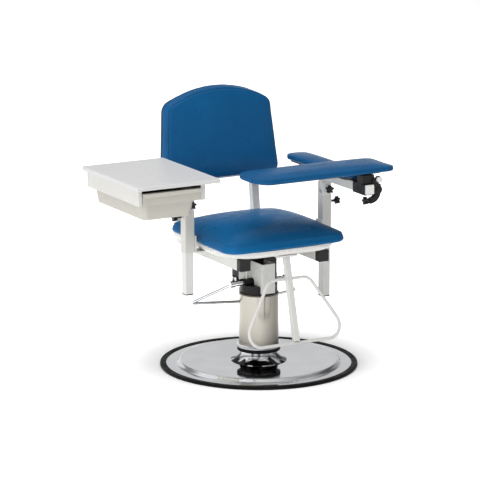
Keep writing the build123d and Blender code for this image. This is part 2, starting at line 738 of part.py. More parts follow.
with BuildPart() as seat_rails:
    with BuildSketch(Plane.XZ.offset(-RAIL_REAR)):
        with Locations((-RAIL_X, RAIL_MIDDLE), (RAIL_X, RAIL_MIDDLE)):
            square_ring(RAIL_SIDE, RAIL_INSIDE, 3)
    extrude(amount=RAIL_REAR - RAIL_FRONT)
    with BuildSketch(Plane.XY.offset(RAIL_BOTTOM)):
        with Locations(*SEAT_BOLTS):
            Circle(M8_HOLE)
    extrude(amount=RAIL_SIDE, mode=Mode.SUBTRACT)
seat_rails.part.label = "seat_rails"
export_step(seat_rails.part, "parts/seat_rails.step")

upright_caps = []
for side in (-1, 1):
    upright_caps.append(back_plane.from_local_coords((side * RAIL_X, UPRIGHT_TOP, -UPRIGHT_DEPTH)))

with BuildPart() as frame_end_caps:
    with BuildSketch(Plane.XZ.offset(-RAIL_FRONT)):
        with Locations((-RAIL_X, RAIL_MIDDLE), (RAIL_X, RAIL_MIDDLE)):
            RectangleRounded(RAIL_SIDE, RAIL_SIDE, 3)
    extrude(amount=CAP_LENGTH)
    with BuildSketch(Plane.XZ.offset(-RAIL_FRONT)):
        with Locations((-RAIL_X, RAIL_MIDDLE), (RAIL_X, RAIL_MIDDLE)):
            Rectangle(RAIL_INSIDE - 0.2, RAIL_INSIDE - 0.2)
    extrude(amount=-CAP_LENGTH)
    with BuildSketch(Plane.XZ.offset(-RAIL_REAR)):
        with Locations((-RAIL_X, RAIL_MIDDLE), (RAIL_X, RAIL_MIDDLE)):
            square_ring(RAIL_SIDE, UPRIGHT_SIDE + 0.2, 3)
    extrude(amount=-BUSH_FLANGE)
    with BuildSketch(Plane.XZ.offset(-RAIL_REAR)):
        with Locations((-RAIL_X, RAIL_MIDDLE), (RAIL_X, RAIL_MIDDLE)):
            square_ring(RAIL_INSIDE - 0.2, UPRIGHT_SIDE + 0.2, 1)
    extrude(amount=BUSH_SPIGOT)
    for place in upright_caps:
        with BuildSketch(Plane(origin=place, x_dir=(1, 0, 0), z_dir=back_up)):
            RectangleRounded(UPRIGHT_SIDE, UPRIGHT_SIDE, 2)
        extrude(amount=3)
        with BuildSketch(Plane(origin=place, x_dir=(1, 0, 0), z_dir=back_up)):
            Rectangle(UPRIGHT_HOLE - 0.2, UPRIGHT_HOLE - 0.2)
        extrude(amount=-12)
frame_end_caps.part.label = "frame_end_caps"
export_step(frame_end_caps.part, "parts/frame_end_caps.step")

with BuildPart() as arm_brackets:
    with BuildSketch(Plane.XZ.offset(-LEG_Y - BRACKET_WIDE / 2)):
        for side in (-1, 1):
            with BuildLine():
                inside = RAIL_X - RAIL_SIDE / 2 + 1
                outside = LEG_X - SLEEVE_SIDE / 2 - 0.1
                Polyline(
                    (side * inside, RAIL_TOP + 0.1),
                    (side * outside, RAIL_TOP + 0.1),
                    (side * outside, BRACKET_TOP),
                    (side * (outside - BRACKET_THICK), BRACKET_TOP),
                    (side * (outside - BRACKET_THICK), RAIL_TOP + 0.1 + BRACKET_STRAP),
                    (side * inside, RAIL_TOP + 0.1 + BRACKET_STRAP),
                    close=True,
                )
            make_face()
    extrude(amount=BRACKET_WIDE)
arm_brackets.part.label = "arm_brackets"
export_step(arm_brackets.part, "parts/arm_brackets.step")

with BuildPart() as arm_sleeves:
    with BuildSketch(Plane.XY.offset(SLEEVE_BOTTOM)):
        with Locations((-LEG_X, LEG_Y), (LEG_X, LEG_Y)):
            square_ring(SLEEVE_SIDE, SLEEVE_HOLE, 2.5)
    extrude(amount=SLEEVE_TOP - SLEEVE_BOTTOM)
    for side, height in ((-1, TRAY_KNOB_Z), (1, HEIGHT_KNOB_Z)):
        with BuildSketch(Plane.YZ.offset(side * (LEG_X + SLEEVE_SIDE / 2))):
            with Locations((LEG_Y, height)):
                RegularPolygon(radius=M8_HEAD_ACROSS / 2, side_count=6, major_radius=False)
        extrude(amount=side * WELD_NUT)
        with BuildSketch(Plane.YZ.offset(side * (LEG_X + LEG_SIDE / 2))):
            with Locations((LEG_Y, height)):
                Circle(STUD_RADIUS + RUN)
        extrude(amount=side * SLEEVE_SIDE, mode=Mode.SUBTRACT)
arm_sleeves.part.label = "arm_sleeves"
export_step(arm_sleeves.part, "parts/arm_sleeves.step")

with BuildPart() as back_uprights:
    for side in (-1, 1):
        bend = back_plane.from_local_coords((side * RAIL_X, UPRIGHT_FOOT, -UPRIGHT_DEPTH))
        top = back_plane.from_local_coords((side * RAIL_X, UPRIGHT_TOP, -UPRIGHT_DEPTH))
        with BuildLine() as upright_path:
            FilletPolyline((side * RAIL_X, UPRIGHT_START, RAIL_MIDDLE), bend, top, radius=UPRIGHT_BEND)
        with BuildSketch(Plane(origin=upright_path.line @ 0, x_dir=(1, 0, 0), z_dir=upright_path.line % 0)):
            square_ring(UPRIGHT_SIDE, UPRIGHT_HOLE, 2)
        sweep()
    with BuildSketch(back_plane.offset(-UPRIGHT_DEPTH)):
        with Locations(*BACK_BOLTS):
            Circle(M8_HOLE)
    extrude(amount=UPRIGHT_SIDE, both=True, mode=Mode.SUBTRACT)
    with BuildSketch(Plane.XY.offset(RAIL_BOTTOM)):
        with Locations(*SEAT_BOLTS):
            Circle(M8_HOLE)
    extrude(amount=RAIL_SIDE, mode=Mode.SUBTRACT)
back_uprights.part.label = "back_uprights"
export_step(back_uprights.part, "parts/back_uprights.step")

short_bolt = hex_bolt(18)
long_bolt = hex_bolt(54)
back_bolt = hex_bolt(UPRIGHT_SIDE + 8)
step_bolt = hex_bolt(18)

with BuildPart() as frame_bolts:
    for x, y in MOUNT_BOLTS:
        with Locations((x, y, RAIL_BOTTOM + MOUNT_PLATE_THICK + 0.15)):
            add(short_bolt)
    for y, z in SADDLE_BOLTS:
        with Locations(Location((SADDLE_HALF + 0.05, y, z), (0, 90, 0))):
            add(short_bolt)
        with Locations(Location((-SADDLE_HALF - 0.05, y, z), (0, -90, 0))):
            add(short_bolt)
    for x, y in SEAT_BOLTS:
        with Locations(Location((x, y, RAIL_BOTTOM - 0.05), (180, 0, 0))):
            add(long_bolt)
    for x, y in STEP_BOLTS:
        with Locations(Location((x, y, STEP_PLATE_BOTTOM - 0.05), (180, 0, 0))):
            add(step_bolt)
    for u, v in BACK_BOLTS:
        head = back_plane.from_local_coords((u, v, -UPRIGHT_DEPTH - UPRIGHT_SIDE / 2 - 0.05))
        with Locations(Plane(origin=head, x_dir=(1, 0, 0), z_dir=-back_plane.z_dir)):
            add(back_bolt)
frame_bolts.part.label = "frame_bolts"
export_step(frame_bolts.part, "parts/frame_bolts.step")

# ----------------------------------------------------------------------- seat

pan_plan = seat_plan(PAN_INSET, PAN_CORNER, 14)
board_plan = seat_plan(PAN_INSET + PAN_WALL + 0.5, PAN_CORNER - PAN_WALL - 0.5, 12)
cushion_plan = seat_plan(0, SEAT_CORNER, 34)

with BuildPart() as seat_pan:
    with BuildSketch(Plane.XY.offset(PAN_BOTTOM)):
        add(pan_plan)
    extrude(amount=PAN_TOP - PAN_BOTTOM)
    fillet(seat_pan.edges().group_by(Axis.Z)[0], radius=13.5)
    offset(amount=-PAN_WALL, openings=seat_pan.faces().sort_by(Axis.Z)[-1])
    with BuildSketch(Plane.XY.offset(RAIL_TOP + 0.1)):
        with Locations(*SEAT_BOLTS):
            Rectangle(RAIL_SIDE - 4, 40)
    extrude(amount=PAN_BOTTOM - RAIL_TOP + 0.5)
    with BuildSketch(Plane.XY.offset(RAIL_TOP)):
        with Locations(*SEAT_BOLTS, *STEP_BOLTS):
            Circle(M8_HOLE)
    extrude(amount=PAN_TOP - RAIL_TOP, mode=Mode.SUBTRACT)
seat_pan.part.label = "seat_pan"
export_step(seat_pan.part, "parts/seat_pan.step")

with BuildPart() as seat_board:
    with BuildSketch(Plane.XY.offset(PAN_BOTTOM + PAN_WALL + 0.2)):
        add(board_plan)
    extrude(amount=BOARD_THICK)
    fillet(seat_board.edges().group_by(Axis.Z)[0], radius=11.5)
    with BuildSketch(Plane.XY.offset(PAN_BOTTOM)):
        with Locations(*SEAT_BOLTS, *STEP_BOLTS):
            Circle(M8_HOLE)
    extrude(amount=BOARD_THICK - 4, mode=Mode.SUBTRACT)
seat_board.part.label = "seat_board"
export_step(seat_board.part, "parts/seat_board.step")

with BuildPart() as seat_cushion:
    with BuildSketch(Plane.XY.offset(PAN_TOP + 0.3)):
        add(cushion_plan)
    extrude(amount=CUSHION_TOP - PAN_TOP - 0.3)
    fillet(seat_cushion.edges().group_by(Axis.Z)[-1], radius=CUSHION_ROUND)
    fillet(seat_cushion.edges().group_by(Axis.Z)[0], radius=CUSHION_FOOT_ROUND)
seat_cushion.part.label = "seat_cushion"
export_step(seat_cushion.part, "parts/seat_cushion.step")

# ------------------------------------------------------------------- backrest

back_pad_plan = back_plan(0)
back_board_plan = back_plan(9)

with BuildPart() as back_cushion:
    with BuildSketch(back_plane):
        add(back_pad_plan)
    extrude(amount=-BACK_PAD_THICK)
    fillet(back_cushion.faces().sort_by(Axis.Y)[0].edges(), radius=14)
back_cushion.part.label = "back_cushion"
export_step(back_cushion.part, "parts/back_cushion.step")

with BuildPart() as back_board:
    with BuildSketch(back_plane.offset(-BACK_PAD_THICK - 0.3)):
        add(back_board_plan)
    extrude(amount=-BACK_BOARD_THICK)
    with BuildSketch(back_plane.offset(-BACK_PAD_THICK - 3)):
        with Locations(*BACK_BOLTS):
            Circle(M8_HOLE)
    extrude(amount=-BACK_BOARD_THICK, mode=Mode.SUBTRACT)
back_board.part.label = "back_board"
export_step(back_board.part, "parts/back_board.step")

# ------------------------------------------------------------------- footrest

step_plane = loop_plane(STEP_FOOT, STEP_TOP)
step_axis = Plane(origin=STEP_FOOT, x_dir=(1, 0, 0), z_dir=step_plane.y_dir)
step_bar = step_plane.from_local_coords((0, STEP_BAR_HEIGHT, 0))

with BuildPart() as footrest_post:
    with BuildSketch(step_axis):
        square_ring(STEP_SIDE, STEP_SIDE - 3, 2)
    extrude(amount=STEP_LENGTH)
    split(bisect_by=Plane.XY.offset(STEP_PLATE_BOTTOM), keep=Keep.BOTTOM)
    with BuildSketch(Plane.XY.offset(STEP_PLATE_BOTTOM)):
        with Locations((0, STEP_BOLTS[0][1])):
            RectangleRounded(72, 40, 5)
        with Locations(*STEP_BOLTS):
            Circle(M8_HOLE, mode=Mode.SUBTRACT)
    extrude(amount=5.2)
    with BuildSketch(Plane.YZ):
        with Locations((step_bar.Y, step_bar.Z)):
            Circle(STEP_ROD + 0.1)
    extrude(amount=STEP_SIDE, both=True, mode=Mode.SUBTRACT)
footrest_post.part.label = "footrest_post"
export_step(footrest_post.part, "parts/footrest_post.step")

with BuildPart() as footrest_loop:
    with BuildLine(step_plane) as loop_path:
        FilletPolyline(
            (STEP_HALF_FOOT, -STEP_ROD - 0.1),
            (STEP_HALF_TOP, STEP_BAR_HEIGHT),
            (-STEP_HALF_TOP, STEP_BAR_HEIGHT),
            (-STEP_HALF_FOOT, -STEP_ROD - 0.1),
            radius=[STEP_FOOT_BEND, STEP_TOP_BEND, STEP_TOP_BEND, STEP_FOOT_BEND],
            close=True,
        )
    with BuildSketch(Plane(origin=loop_path.line @ 0, z_dir=loop_path.line % 0)):
        Circle(STEP_ROD)
    sweep()
footrest_loop.part.label = "footrest_loop"
export_step(footrest_loop.part, "parts/footrest_loop.step")

# ---------------------------------------------------------------- arm posts

clevis_blank = arm_clevis_blank()

with BuildPart() as tray_post:
    with BuildSketch(Plane.XY.offset(TRAY_POST_FOOT + FOOT_PLUG)):
        with Locations((-LEG_X, LEG_Y)):
            square_ring(LEG_SIDE, POST_HOLE, 1.5)
    extrude(amount=CLEVIS_BOTTOM - TRAY_POST_FOOT - FOOT_PLUG)
tray_post.part.label = "tray_post"
export_step(tray_post.part, "parts/tray_post.step")

with BuildPart() as tray_post_foot:
    with BuildSketch(Plane.XY.offset(TRAY_POST_FOOT)):
        with Locations((-LEG_X, LEG_Y)):
            RectangleRounded(LEG_SIDE, LEG_SIDE, 1.5)
    extrude(amount=FOOT_PLUG)
    with BuildSketch(Plane.XY.offset(TRAY_POST_FOOT + FOOT_PLUG)):
        with Locations((-LEG_X, LEG_Y)):
            Rectangle(POST_HOLE - 0.2, POST_HOLE - 0.2)
    extrude(amount=15)
tray_post_foot.part.label = "tray_post_foot"
export_step(tray_post_foot.part, "parts/tray_post_foot.step")

with BuildPart() as tray_clevis:
    with Locations((-LEG_X, LEG_Y, TILT_HEIGHT)):
        add(clevis_blank)
tray_clevis.part.label = "tray_clevis"
export_step(tray_clevis.part, "parts/tray_clevis.step")

with BuildPart() as arm_post:
    with BuildSketch(Plane.XY.offset(ARM_POST_FOOT + FOOT_PLUG)):
        with Locations((LEG_X, LEG_Y)):
            square_ring(LEG_SIDE, POST_HOLE, 1.5)
    extrude(amount=CLEVIS_BOTTOM - ARM_POST_FOOT - FOOT_PLUG)
arm_post.part.label = "arm_post"
export_step(arm_post.part, "parts/arm_post.step")

with BuildPart() as arm_post_foot:
    with BuildSketch(Plane.XY.offset(ARM_POST_FOOT)):
        with Locations((LEG_X, LEG_Y)):
            RectangleRounded(LEG_SIDE, LEG_SIDE, 1.5)
    extrude(amount=FOOT_PLUG)
    with BuildSketch(Plane.XY.offset(ARM_POST_FOOT + FOOT_PLUG)):
        with Locations((LEG_X, LEG_Y)):
            Rectangle(POST_HOLE - 0.2, POST_HOLE - 0.2)
    extrude(amount=15)
arm_post_foot.part.label = "arm_post_foot"
export_step(arm_post_foot.part, "parts/arm_post_foot.step")

with BuildPart() as arm_clevis:
    with Locations((LEG_X, LEG_Y, TILT_HEIGHT)):
        add(clevis_blank)
arm_clevis.part.label = "arm_clevis"
export_step(arm_clevis.part, "parts/arm_clevis.step")

# ------------------------------------------------------------- clamping knobs

height_knob = star_knob(KNOB_SIZE, HEIGHT_STUD)
tilt_knob = star_knob(KNOB_SIZE, TILT_STUD)
jaw_knob = star_knob(KNOB_SIZE, CLAMP_STUD - KNOB_COLLAR)

with BuildPart() as height_knob_left:
    with Locations(Location((-HEIGHT_KNOB_X, LEG_Y, TRAY_KNOB_Z), (0, -90, 0))):
        add(height_knob)
height_knob_left.part.label = "height_knob_left"
export_step(height_knob_left.part, "parts/height_knob_left.step")

with BuildPart() as height_knob_right:
    with Locations(Location((HEIGHT_KNOB_X, LEG_Y, HEIGHT_KNOB_Z), (0, 90, 0))):
        add(height_knob)
height_knob_right.part.label = "height_knob_right"
export_step(height_knob_right.part, "parts/height_knob_right.step")

with BuildPart() as tilt_knob_left:
    with Locations(Location((-LEG_X, LEG_Y - TILT_KNOB_OUT, TILT_HEIGHT), (90, 0, 0))):
        add(tilt_knob)
tilt_knob_left.part.label = "tilt_knob_left"
export_step(tilt_knob_left.part, "parts/tilt_knob_left.step")

with BuildPart() as tilt_knob_right:
    with Locations(Location((LEG_X, LEG_Y - TILT_KNOB_OUT, TILT_HEIGHT), (90, 0, 0))):
        add(tilt_knob)
tilt_knob_right.part.label = "tilt_knob_right"
export_step(tilt_knob_right.part, "parts/tilt_knob_right.step")

with BuildPart() as clamp_knob:
    with Locations(Location((CLAMP_X, CLAMP_Y, CLAMP_Z), (0, -90, 0))):
        add(jaw_knob)
clamp_knob.part.label = "clamp_knob"
export_step(clamp_knob.part, "parts/clamp_knob.step")

# ------------------------------------------------------------- tray and drawer

with BuildPart() as tray_bracket:
    with BuildSketch(Plane.XZ.offset(-LEG_Y - TONGUE_HALF)):
        with Locations((-LEG_X, TILT_HEIGHT)):
            Circle(TONGUE_RADIUS)
            Rectangle(2 * TONGUE_RADIUS, TRAY_BOTTOM - TILT_HEIGHT - 0.2, align=(Align.CENTER, Align.MIN))
    extrude(amount=2 * TONGUE_HALF)
    with BuildSketch(Plane.XZ.offset(-LEG_Y - BRACKET_WING)):
        with Locations((CASE_RIGHT + 0.1, TRAY_BOTTOM - 0.2)):
            Rectangle(TRAY_RIGHT - CASE_RIGHT - 6, 5, align=(Align.MIN, Align.MAX))
            Rectangle(5, 44, align=(Align.MIN, Align.MAX))
    extrude(amount=2 * BRACKET_WING)
    with BuildSketch(Plane.XZ.offset(-LEG_Y - 8)):
        with Locations((CASE_RIGHT + 0.1, TRAY_BOTTOM - 0.2)):
            Rectangle(-LEG_X - CASE_RIGHT, 40, align=(Align.MIN, Align.MAX))
    extrude(amount=16)
    with BuildSketch(Plane.XZ.offset(-LEG_Y - TONGUE_HALF)):
        with Locations((-LEG_X, TILT_HEIGHT)):
            Circle(STUD_RADIUS + RUN)
    extrude(amount=2 * TONGUE_HALF, mode=Mode.SUBTRACT)
tray_bracket.part.label = "tray_bracket"
export_step(tray_bracket.part, "parts/tray_bracket.step")

with BuildPart() as tray_top:
    with BuildSketch(Plane.XY.offset(TRAY_BOTTOM)):
        with Locations(((TRAY_LEFT + TRAY_RIGHT) / 2, (TRAY_FRONT + TRAY_BACK) / 2)):
            RectangleRounded(TRAY_RIGHT - TRAY_LEFT, TRAY_BACK - TRAY_FRONT, 4)
    extrude(amount=TRAY_TOP - TRAY_BOTTOM)
    chamfer(tray_top.edges().group_by(Axis.Z)[-1], length=2.5)
tray_top.part.label = "tray_top"
export_step(tray_top.part, "parts/tray_top.step")

with BuildPart() as tray_casing:
    with BuildSketch(Plane.XY.offset(CASE_BOTTOM)):
        with Locations(((CASE_LEFT + CASE_RIGHT) / 2, (CASE_FRONT + CASE_BACK) / 2)):
            Rectangle(CASE_RIGHT - CASE_LEFT, CASE_BACK - CASE_FRONT)
        with Locations(((CASE_LEFT + CASE_RIGHT) / 2, CASE_BACK - CASE_WALL)):
            Rectangle(
                CASE_RIGHT - CASE_LEFT - 2 * CASE_WALL,
                2 * CASE_BACK,
                align=(Align.CENTER, Align.MAX),
                mode=Mode.SUBTRACT,
            )
        with Locations((CASE_LEFT, CASE_FRONT)):
            Rectangle(FLANGE_LEFT, CASE_WALL, align=(Align.MIN, Align.MIN))
        with Locations((CASE_RIGHT, CASE_FRONT)):
            Rectangle(FLANGE_RIGHT, CASE_WALL, align=(Align.MAX, Align.MIN))
    extrude(amount=TRAY_BOTTOM - 0.2 - CASE_BOTTOM)
tray_casing.part.label = "tray_casing"
export_step(tray_casing.part, "parts/tray_casing.step")

with BuildPart() as drawer_runners:
    with BuildSketch(Plane.XZ.offset(-CASE_BACK + 5)):
        with Locations((CASE_LEFT + CASE_WALL + 0.1, RUNNER_TOP)):
            Rectangle(TUB_LEFT - CASE_LEFT - CASE_WALL - 1.1, 3, align=(Align.MIN, Align.MAX))
            Rectangle(3, 16, align=(Align.MIN, Align.MAX))
        with Locations((CASE_RIGHT - CASE_WALL - 0.1, RUNNER_TOP)):
            Rectangle(CASE_RIGHT - CASE_WALL - TUB_RIGHT - 1.1, 3, align=(Align.MAX, Align.MAX))
            Rectangle(3, 16, align=(Align.MAX, Align.MAX))
    extrude(amount=CASE_BACK - CASE_FRONT - 12)
drawer_runners.part.label = "drawer_runners"
export_step(drawer_runners.part, "parts/drawer_runners.step")

tub_middle = (TUB_LEFT + TUB_RIGHT) / 2
tub_wide = TUB_RIGHT - TUB_LEFT
tub_deep = TUB_BACK - TUB_FRONT
tub_centre = (tub_middle, (TUB_BACK + TUB_FRONT) / 2)

with BuildPart() as drawer_tub:
    for shrink, floor, mode in (
        (0, DRAWER_FLOOR, Mode.ADD),
        (2 * DRAWER_WALL, DRAWER_FLOOR + DRAWER_WALL, Mode.SUBTRACT),
    ):
        with BuildSketch(Plane.XY.offset(CASE_BOTTOM)):
            with Locations(tub_centre):
                RectangleRounded(tub_wide - shrink, tub_deep - shrink, 14)
        with BuildSketch(Plane.XY.offset(floor)):
            with Locations(tub_centre):
                RectangleRounded(tub_wide - shrink - TUB_DRAFT, tub_deep - shrink - TUB_DRAFT, 22)
        loft(mode=mode)
        with BuildSketch(Plane.XY.offset(CASE_BOTTOM)):
            with Locations(tub_centre):
                RectangleRounded(tub_wide - shrink, tub_deep - shrink, 14)
        extrude(amount=TUB_TOP - CASE_BOTTOM, mode=mode)
    fillet(drawer_tub.edges().group_by(Axis.Z)[0], radius=6)
    with BuildSketch(Plane.XZ.offset(-TUB_BACK + 20)):
        with Locations((TUB_LEFT + 0.5, RUNNER_TOP + 0.3)):
            Rectangle(STRIP_WIDE, 6, align=(Align.MAX, Align.MIN))
        with Locations((TUB_RIGHT - 0.5, RUNNER_TOP + 0.3)):
            Rectangle(STRIP_WIDE, 6, align=(Align.MIN, Align.MIN))
    extrude(amount=tub_deep - 40)
drawer_tub.part.label = "drawer_tub"
export_step(drawer_tub.part, "parts/drawer_tub.step")

with BuildPart() as drawer_front:
    with BuildSketch(Plane.YZ.offset(FRONT_LEFT)) as lip_section:
        with BuildLine():
            Polyline(
                (TUB_FRONT - 0.2, CASE_BOTTOM + 2),
                (TUB_FRONT - 0.2, DRAWER_RIM),
                (FRONT_LIP, DRAWER_RIM),
                (FRONT_LIP, DRAWER_RIM - 11),
                (FRONT_FACE, DRAWER_RIM - 14),
                (FRONT_FACE, CASE_BOTTOM + 2),
                close=True,
            )
        make_face()
        fillet(lip_section.vertices().filter_by_position(Axis.X, FRONT_LIP - 1, FRONT_LIP + 1), radius=3)
    extrude(amount=FRONT_RIGHT - FRONT_LEFT)
drawer_front.part.label = "drawer_front"
export_step(drawer_front.part, "parts/drawer_front.step")

# -------------------------------------------------------------------- armrest

with BuildPart() as arm_tube:
    with BuildSketch(Plane.XZ.offset(-ARM_TUBE_REAR)):
        with Locations((LEG_X, ARM_TUBE_BOTTOM + ARM_TUBE / 2)):
            square_ring(ARM_TUBE, ARM_TUBE_HOLE, 2.5)
    extrude(amount=ARM_TUBE_REAR - ARM_TUBE_FRONT)
    with BuildSketch(Plane.XZ.offset(-LEG_Y - TONGUE_HALF)):
        with Locations((LEG_X, TILT_HEIGHT)):
            Circle(TONGUE_RADIUS)
            Rectangle(2 * TONGUE_RADIUS, ARM_TUBE_BOTTOM - TILT_HEIGHT + 1, align=(Align.CENTER, Align.MIN))
            Circle(STUD_RADIUS + RUN, mode=Mode.SUBTRACT)
    extrude(amount=2 * TONGUE_HALF)
arm_tube.part.label = "arm_tube"
export_step(arm_tube.part, "parts/arm_tube.step")

with BuildPart() as arm_tube_plugs:
    for end, outward in ((ARM_TUBE_FRONT, 1), (ARM_TUBE_REAR, -1)):
        with BuildSketch(Plane.XZ.offset(-end)):
            with Locations((LEG_X, ARM_TUBE_BOTTOM + ARM_TUBE / 2)):
                RectangleRounded(ARM_TUBE, ARM_TUBE, 2.5)
        extrude(amount=outward * 2.5)
        with BuildSketch(Plane.XZ.offset(-end)):
            with Locations((LEG_X, ARM_TUBE_BOTTOM + ARM_TUBE / 2)):
                Rectangle(ARM_TUBE_HOLE - 0.2, ARM_TUBE_HOLE - 0.2)
        extrude(amount=-outward * 14)
arm_tube_plugs.part.label = "arm_tube_plugs"
export_step(arm_tube_plugs.part, "parts/arm_tube_plugs.step")

with BuildPart() as armrest_board:
    with BuildSketch(Plane.XY.offset(ARM_BOARD_BOTTOM)):
        with Locations((LEG_X, LEG_Y)):
            RectangleRounded(ARMREST_WIDE - 30, ARMREST_LONG - 30, 28)
    extrude(amount=ARM_BOARD_TOP - ARM_BOARD_BOTTOM)
armrest_board.part.label = "armrest_board"
export_step(armrest_board.part, "parts/armrest_board.step")

with BuildPart() as armrest_pad:
    with BuildSketch(Plane.XY.offset(ARM_BOARD_TOP + 0.3)):
        with Locations((LEG_X, LEG_Y)):
            RectangleRounded(ARMREST_WIDE, ARMREST_LONG, 41)
    extrude(amount=ARMREST_TOP - ARM_BOARD_TOP - 0.3)
    fillet(armrest_pad.edges().group_by(Axis.Z)[-1], radius=8)
    fillet(armrest_pad.edges().group_by(Axis.Z)[0], radius=4)
armrest_pad.part.label = "armrest_pad"
export_step(armrest_pad.part, "parts/armrest_pad.step")

# ------------------------------------------------------------------- flip arm

tube_middle = ARM_TUBE_BOTTOM + ARM_TUBE / 2

with BuildPart() as flip_clamp:
    with BuildSketch(Plane.XZ.offset(-CLAMP_BACK)):
        with Locations((LEG_X, tube_middle)):
            RectangleRounded(ARM_TUBE + 2 * CLAMP_WALL, ARM_TUBE + 2 * CLAMP_WALL, 3)
            Rectangle(ARM_TUBE + 0.1, ARM_TUBE + 0.1, mode=Mode.SUBTRACT)
    extrude(amount=CLAMP_BACK - CLAMP_FRONT)
    with BuildSketch(Plane.XZ.offset(-KNUCKLE_BACK)):
        with Locations((JAW_X, JAW_Z)):
            Circle(JAW_RADIUS)
            Circle(JAW_RADIUS - JAW_THICK, mode=Mode.SUBTRACT)
            Rectangle(2 * JAW_RADIUS, 3 * JAW_RADIUS, align=(Align.MAX, Align.CENTER), mode=Mode.SUBTRACT)
            Rectangle(2 * JAW_RADIUS, 2 * JAW_RADIUS, align=(Align.MIN, Align.MIN), mode=Mode.SUBTRACT)
        with Locations((SLEEVE_EDGE, JAW_Z)):
            Rectangle(
                JAW_X + JAW_RADIUS - SLEEVE_EDGE,
                FLIP_Z + KNUCKLE_RADIUS - JAW_Z,
                align=(Align.MIN, Align.MIN),
            )
        with Locations((FLIP_X, FLIP_Z)):
            Rectangle(KNUCKLE_RADIUS + 1.5, 18, align=(Align.MAX, Align.CENTER))
            Circle(FLIP_PIN_RADIUS + 0.02, mode=Mode.SUBTRACT)
    extrude(amount=KNUCKLE_BACK - KNUCKLE_FRONT)
    with BuildSketch(Plane.YZ.offset(JAW_X - 1)):
        with Locations((CLAMP_Y, CLAMP_Z)):
            Circle(STUD_RADIUS + RUN)
    extrude(amount=CLAMP_STUD, mode=Mode.SUBTRACT)
flip_clamp.part.label = "flip_clamp"
export_step(flip_clamp.part, "parts/flip_clamp.step")

with BuildPart() as flip_pin:
    with BuildSketch(Plane.XZ.offset(-PIN_BACK)):
        with Locations((FLIP_X, FLIP_Z)):
            Circle(FLIP_PIN_RADIUS)
    extrude(amount=PIN_BACK - PIN_FRONT)
    for end, outward in ((PIN_FRONT, 1), (PIN_BACK, -1)):
        with BuildSketch(Plane.XZ.offset(-end)):
            with Locations((FLIP_X, FLIP_Z)):
                Circle(7.5)
        extrude(amount=outward * 2.5)
flip_pin.part.label = "flip_pin"
export_step(flip_pin.part, "parts/flip_pin.step")

with BuildPart() as flip_bracket:
    for back, front in ((PIN_BACK - 0.3, KNUCKLE_BACK + 0.3), (KNUCKLE_FRONT - 0.3, PIN_FRONT + 0.3)):
        with BuildSketch(Plane.XZ.offset(-back)):
            with Locations((FLIP_X, FLIP_Z)):
                Circle(KNUCKLE_RADIUS)
            with BuildLine():
                Polyline(
                    (SLEEVE_EDGE, FLIP_Z),
                    (FLIP_X + 13, FLIP_Z + 4),
                    (SLEEVE_EDGE + 7, FLIP_BOX_BOTTOM + 12),
                    (SLEEVE_EDGE - 7, FLIP_BOX_BOTTOM + 12),
                    (SLEEVE_EDGE - 7, FLIP_BOX_BOTTOM + 0.3),
                    (SLEEVE_EDGE, FLIP_BOX_BOTTOM + 0.3),
                    close=True,
                )
            make_face()
            with Locations((FLIP_X, FLIP_Z)):
                Circle(FLIP_PIN_RADIUS + RUN, mode=Mode.SUBTRACT)
        extrude(amount=back - front)
    with BuildSketch(Plane.XZ.offset(-FLIP_BOX_BACK)):
        with Locations((FLIP_BOX_LEFT, FLIP_BOX_BOTTOM)):
            Rectangle(
                FLIP_BOX_RIGHT - FLIP_BOX_LEFT,
                FLIP_BOARD_BOTTOM - 0.2 - FLIP_BOX_BOTTOM,
                align=(Align.MIN, Align.MIN),
            )
    extrude(amount=FLIP_BOX_BACK - FLIP_BOX_FRONT)
    with BuildSketch(Plane.XZ.offset(-LUG_BACK)):
        with Locations((LOCK_X, LOCK_Z)):
            Circle(LUG_RADIUS)
            Rectangle(LOCK_X - FLIP_BOX_RIGHT + 4, 12, align=(Align.MAX, Align.CENTER))
            Circle(STUD_RADIUS + RUN, mode=Mode.SUBTRACT)
    extrude(amount=LUG_BACK - LUG_FRONT)
flip_bracket.part.label = "flip_bracket"
export_step(flip_bracket.part, "parts/flip_bracket.step")

with BuildPart() as flip_lock_plunger:
    with BuildSketch(Plane.XZ.offset(-LUG_FRONT + 0.5)):
        with Locations((LOCK_X, LOCK_Z)):
            Circle(LOCK_RADIUS)
    extrude(amount=LOCK_LENGTH)
    fillet(flip_lock_plunger.edges().sort_by(Axis.Y)[0], radius=3)
    with BuildSketch(Plane.XZ.offset(-LUG_FRONT + 0.5)):
        with Locations((LOCK_X, LOCK_Z)):
            Circle(STUD_RADIUS)
    extrude(amount=-LOCK_PIN)
flip_lock_plunger.part.label = "flip_lock_plunger"
export_step(flip_lock_plunger.part, "parts/flip_lock_plunger.step")

with BuildPart() as flip_board:
    with BuildSketch(Plane.XY.offset(FLIP_BOARD_BOTTOM)):
        with Locations(((FLIP_LEFT + FLIP_RIGHT) / 2, (FLIP_FRONT + FLIP_BACK) / 2)):
            RectangleRounded(FLIP_RIGHT - FLIP_LEFT - 60, FLIP_BACK - FLIP_FRONT - 50, 36)
    extrude(amount=FLIP_PAD_BOTTOM - 0.3 - FLIP_BOARD_BOTTOM)
flip_board.part.label = "flip_board"
export_step(flip_board.part, "parts/flip_board.step")

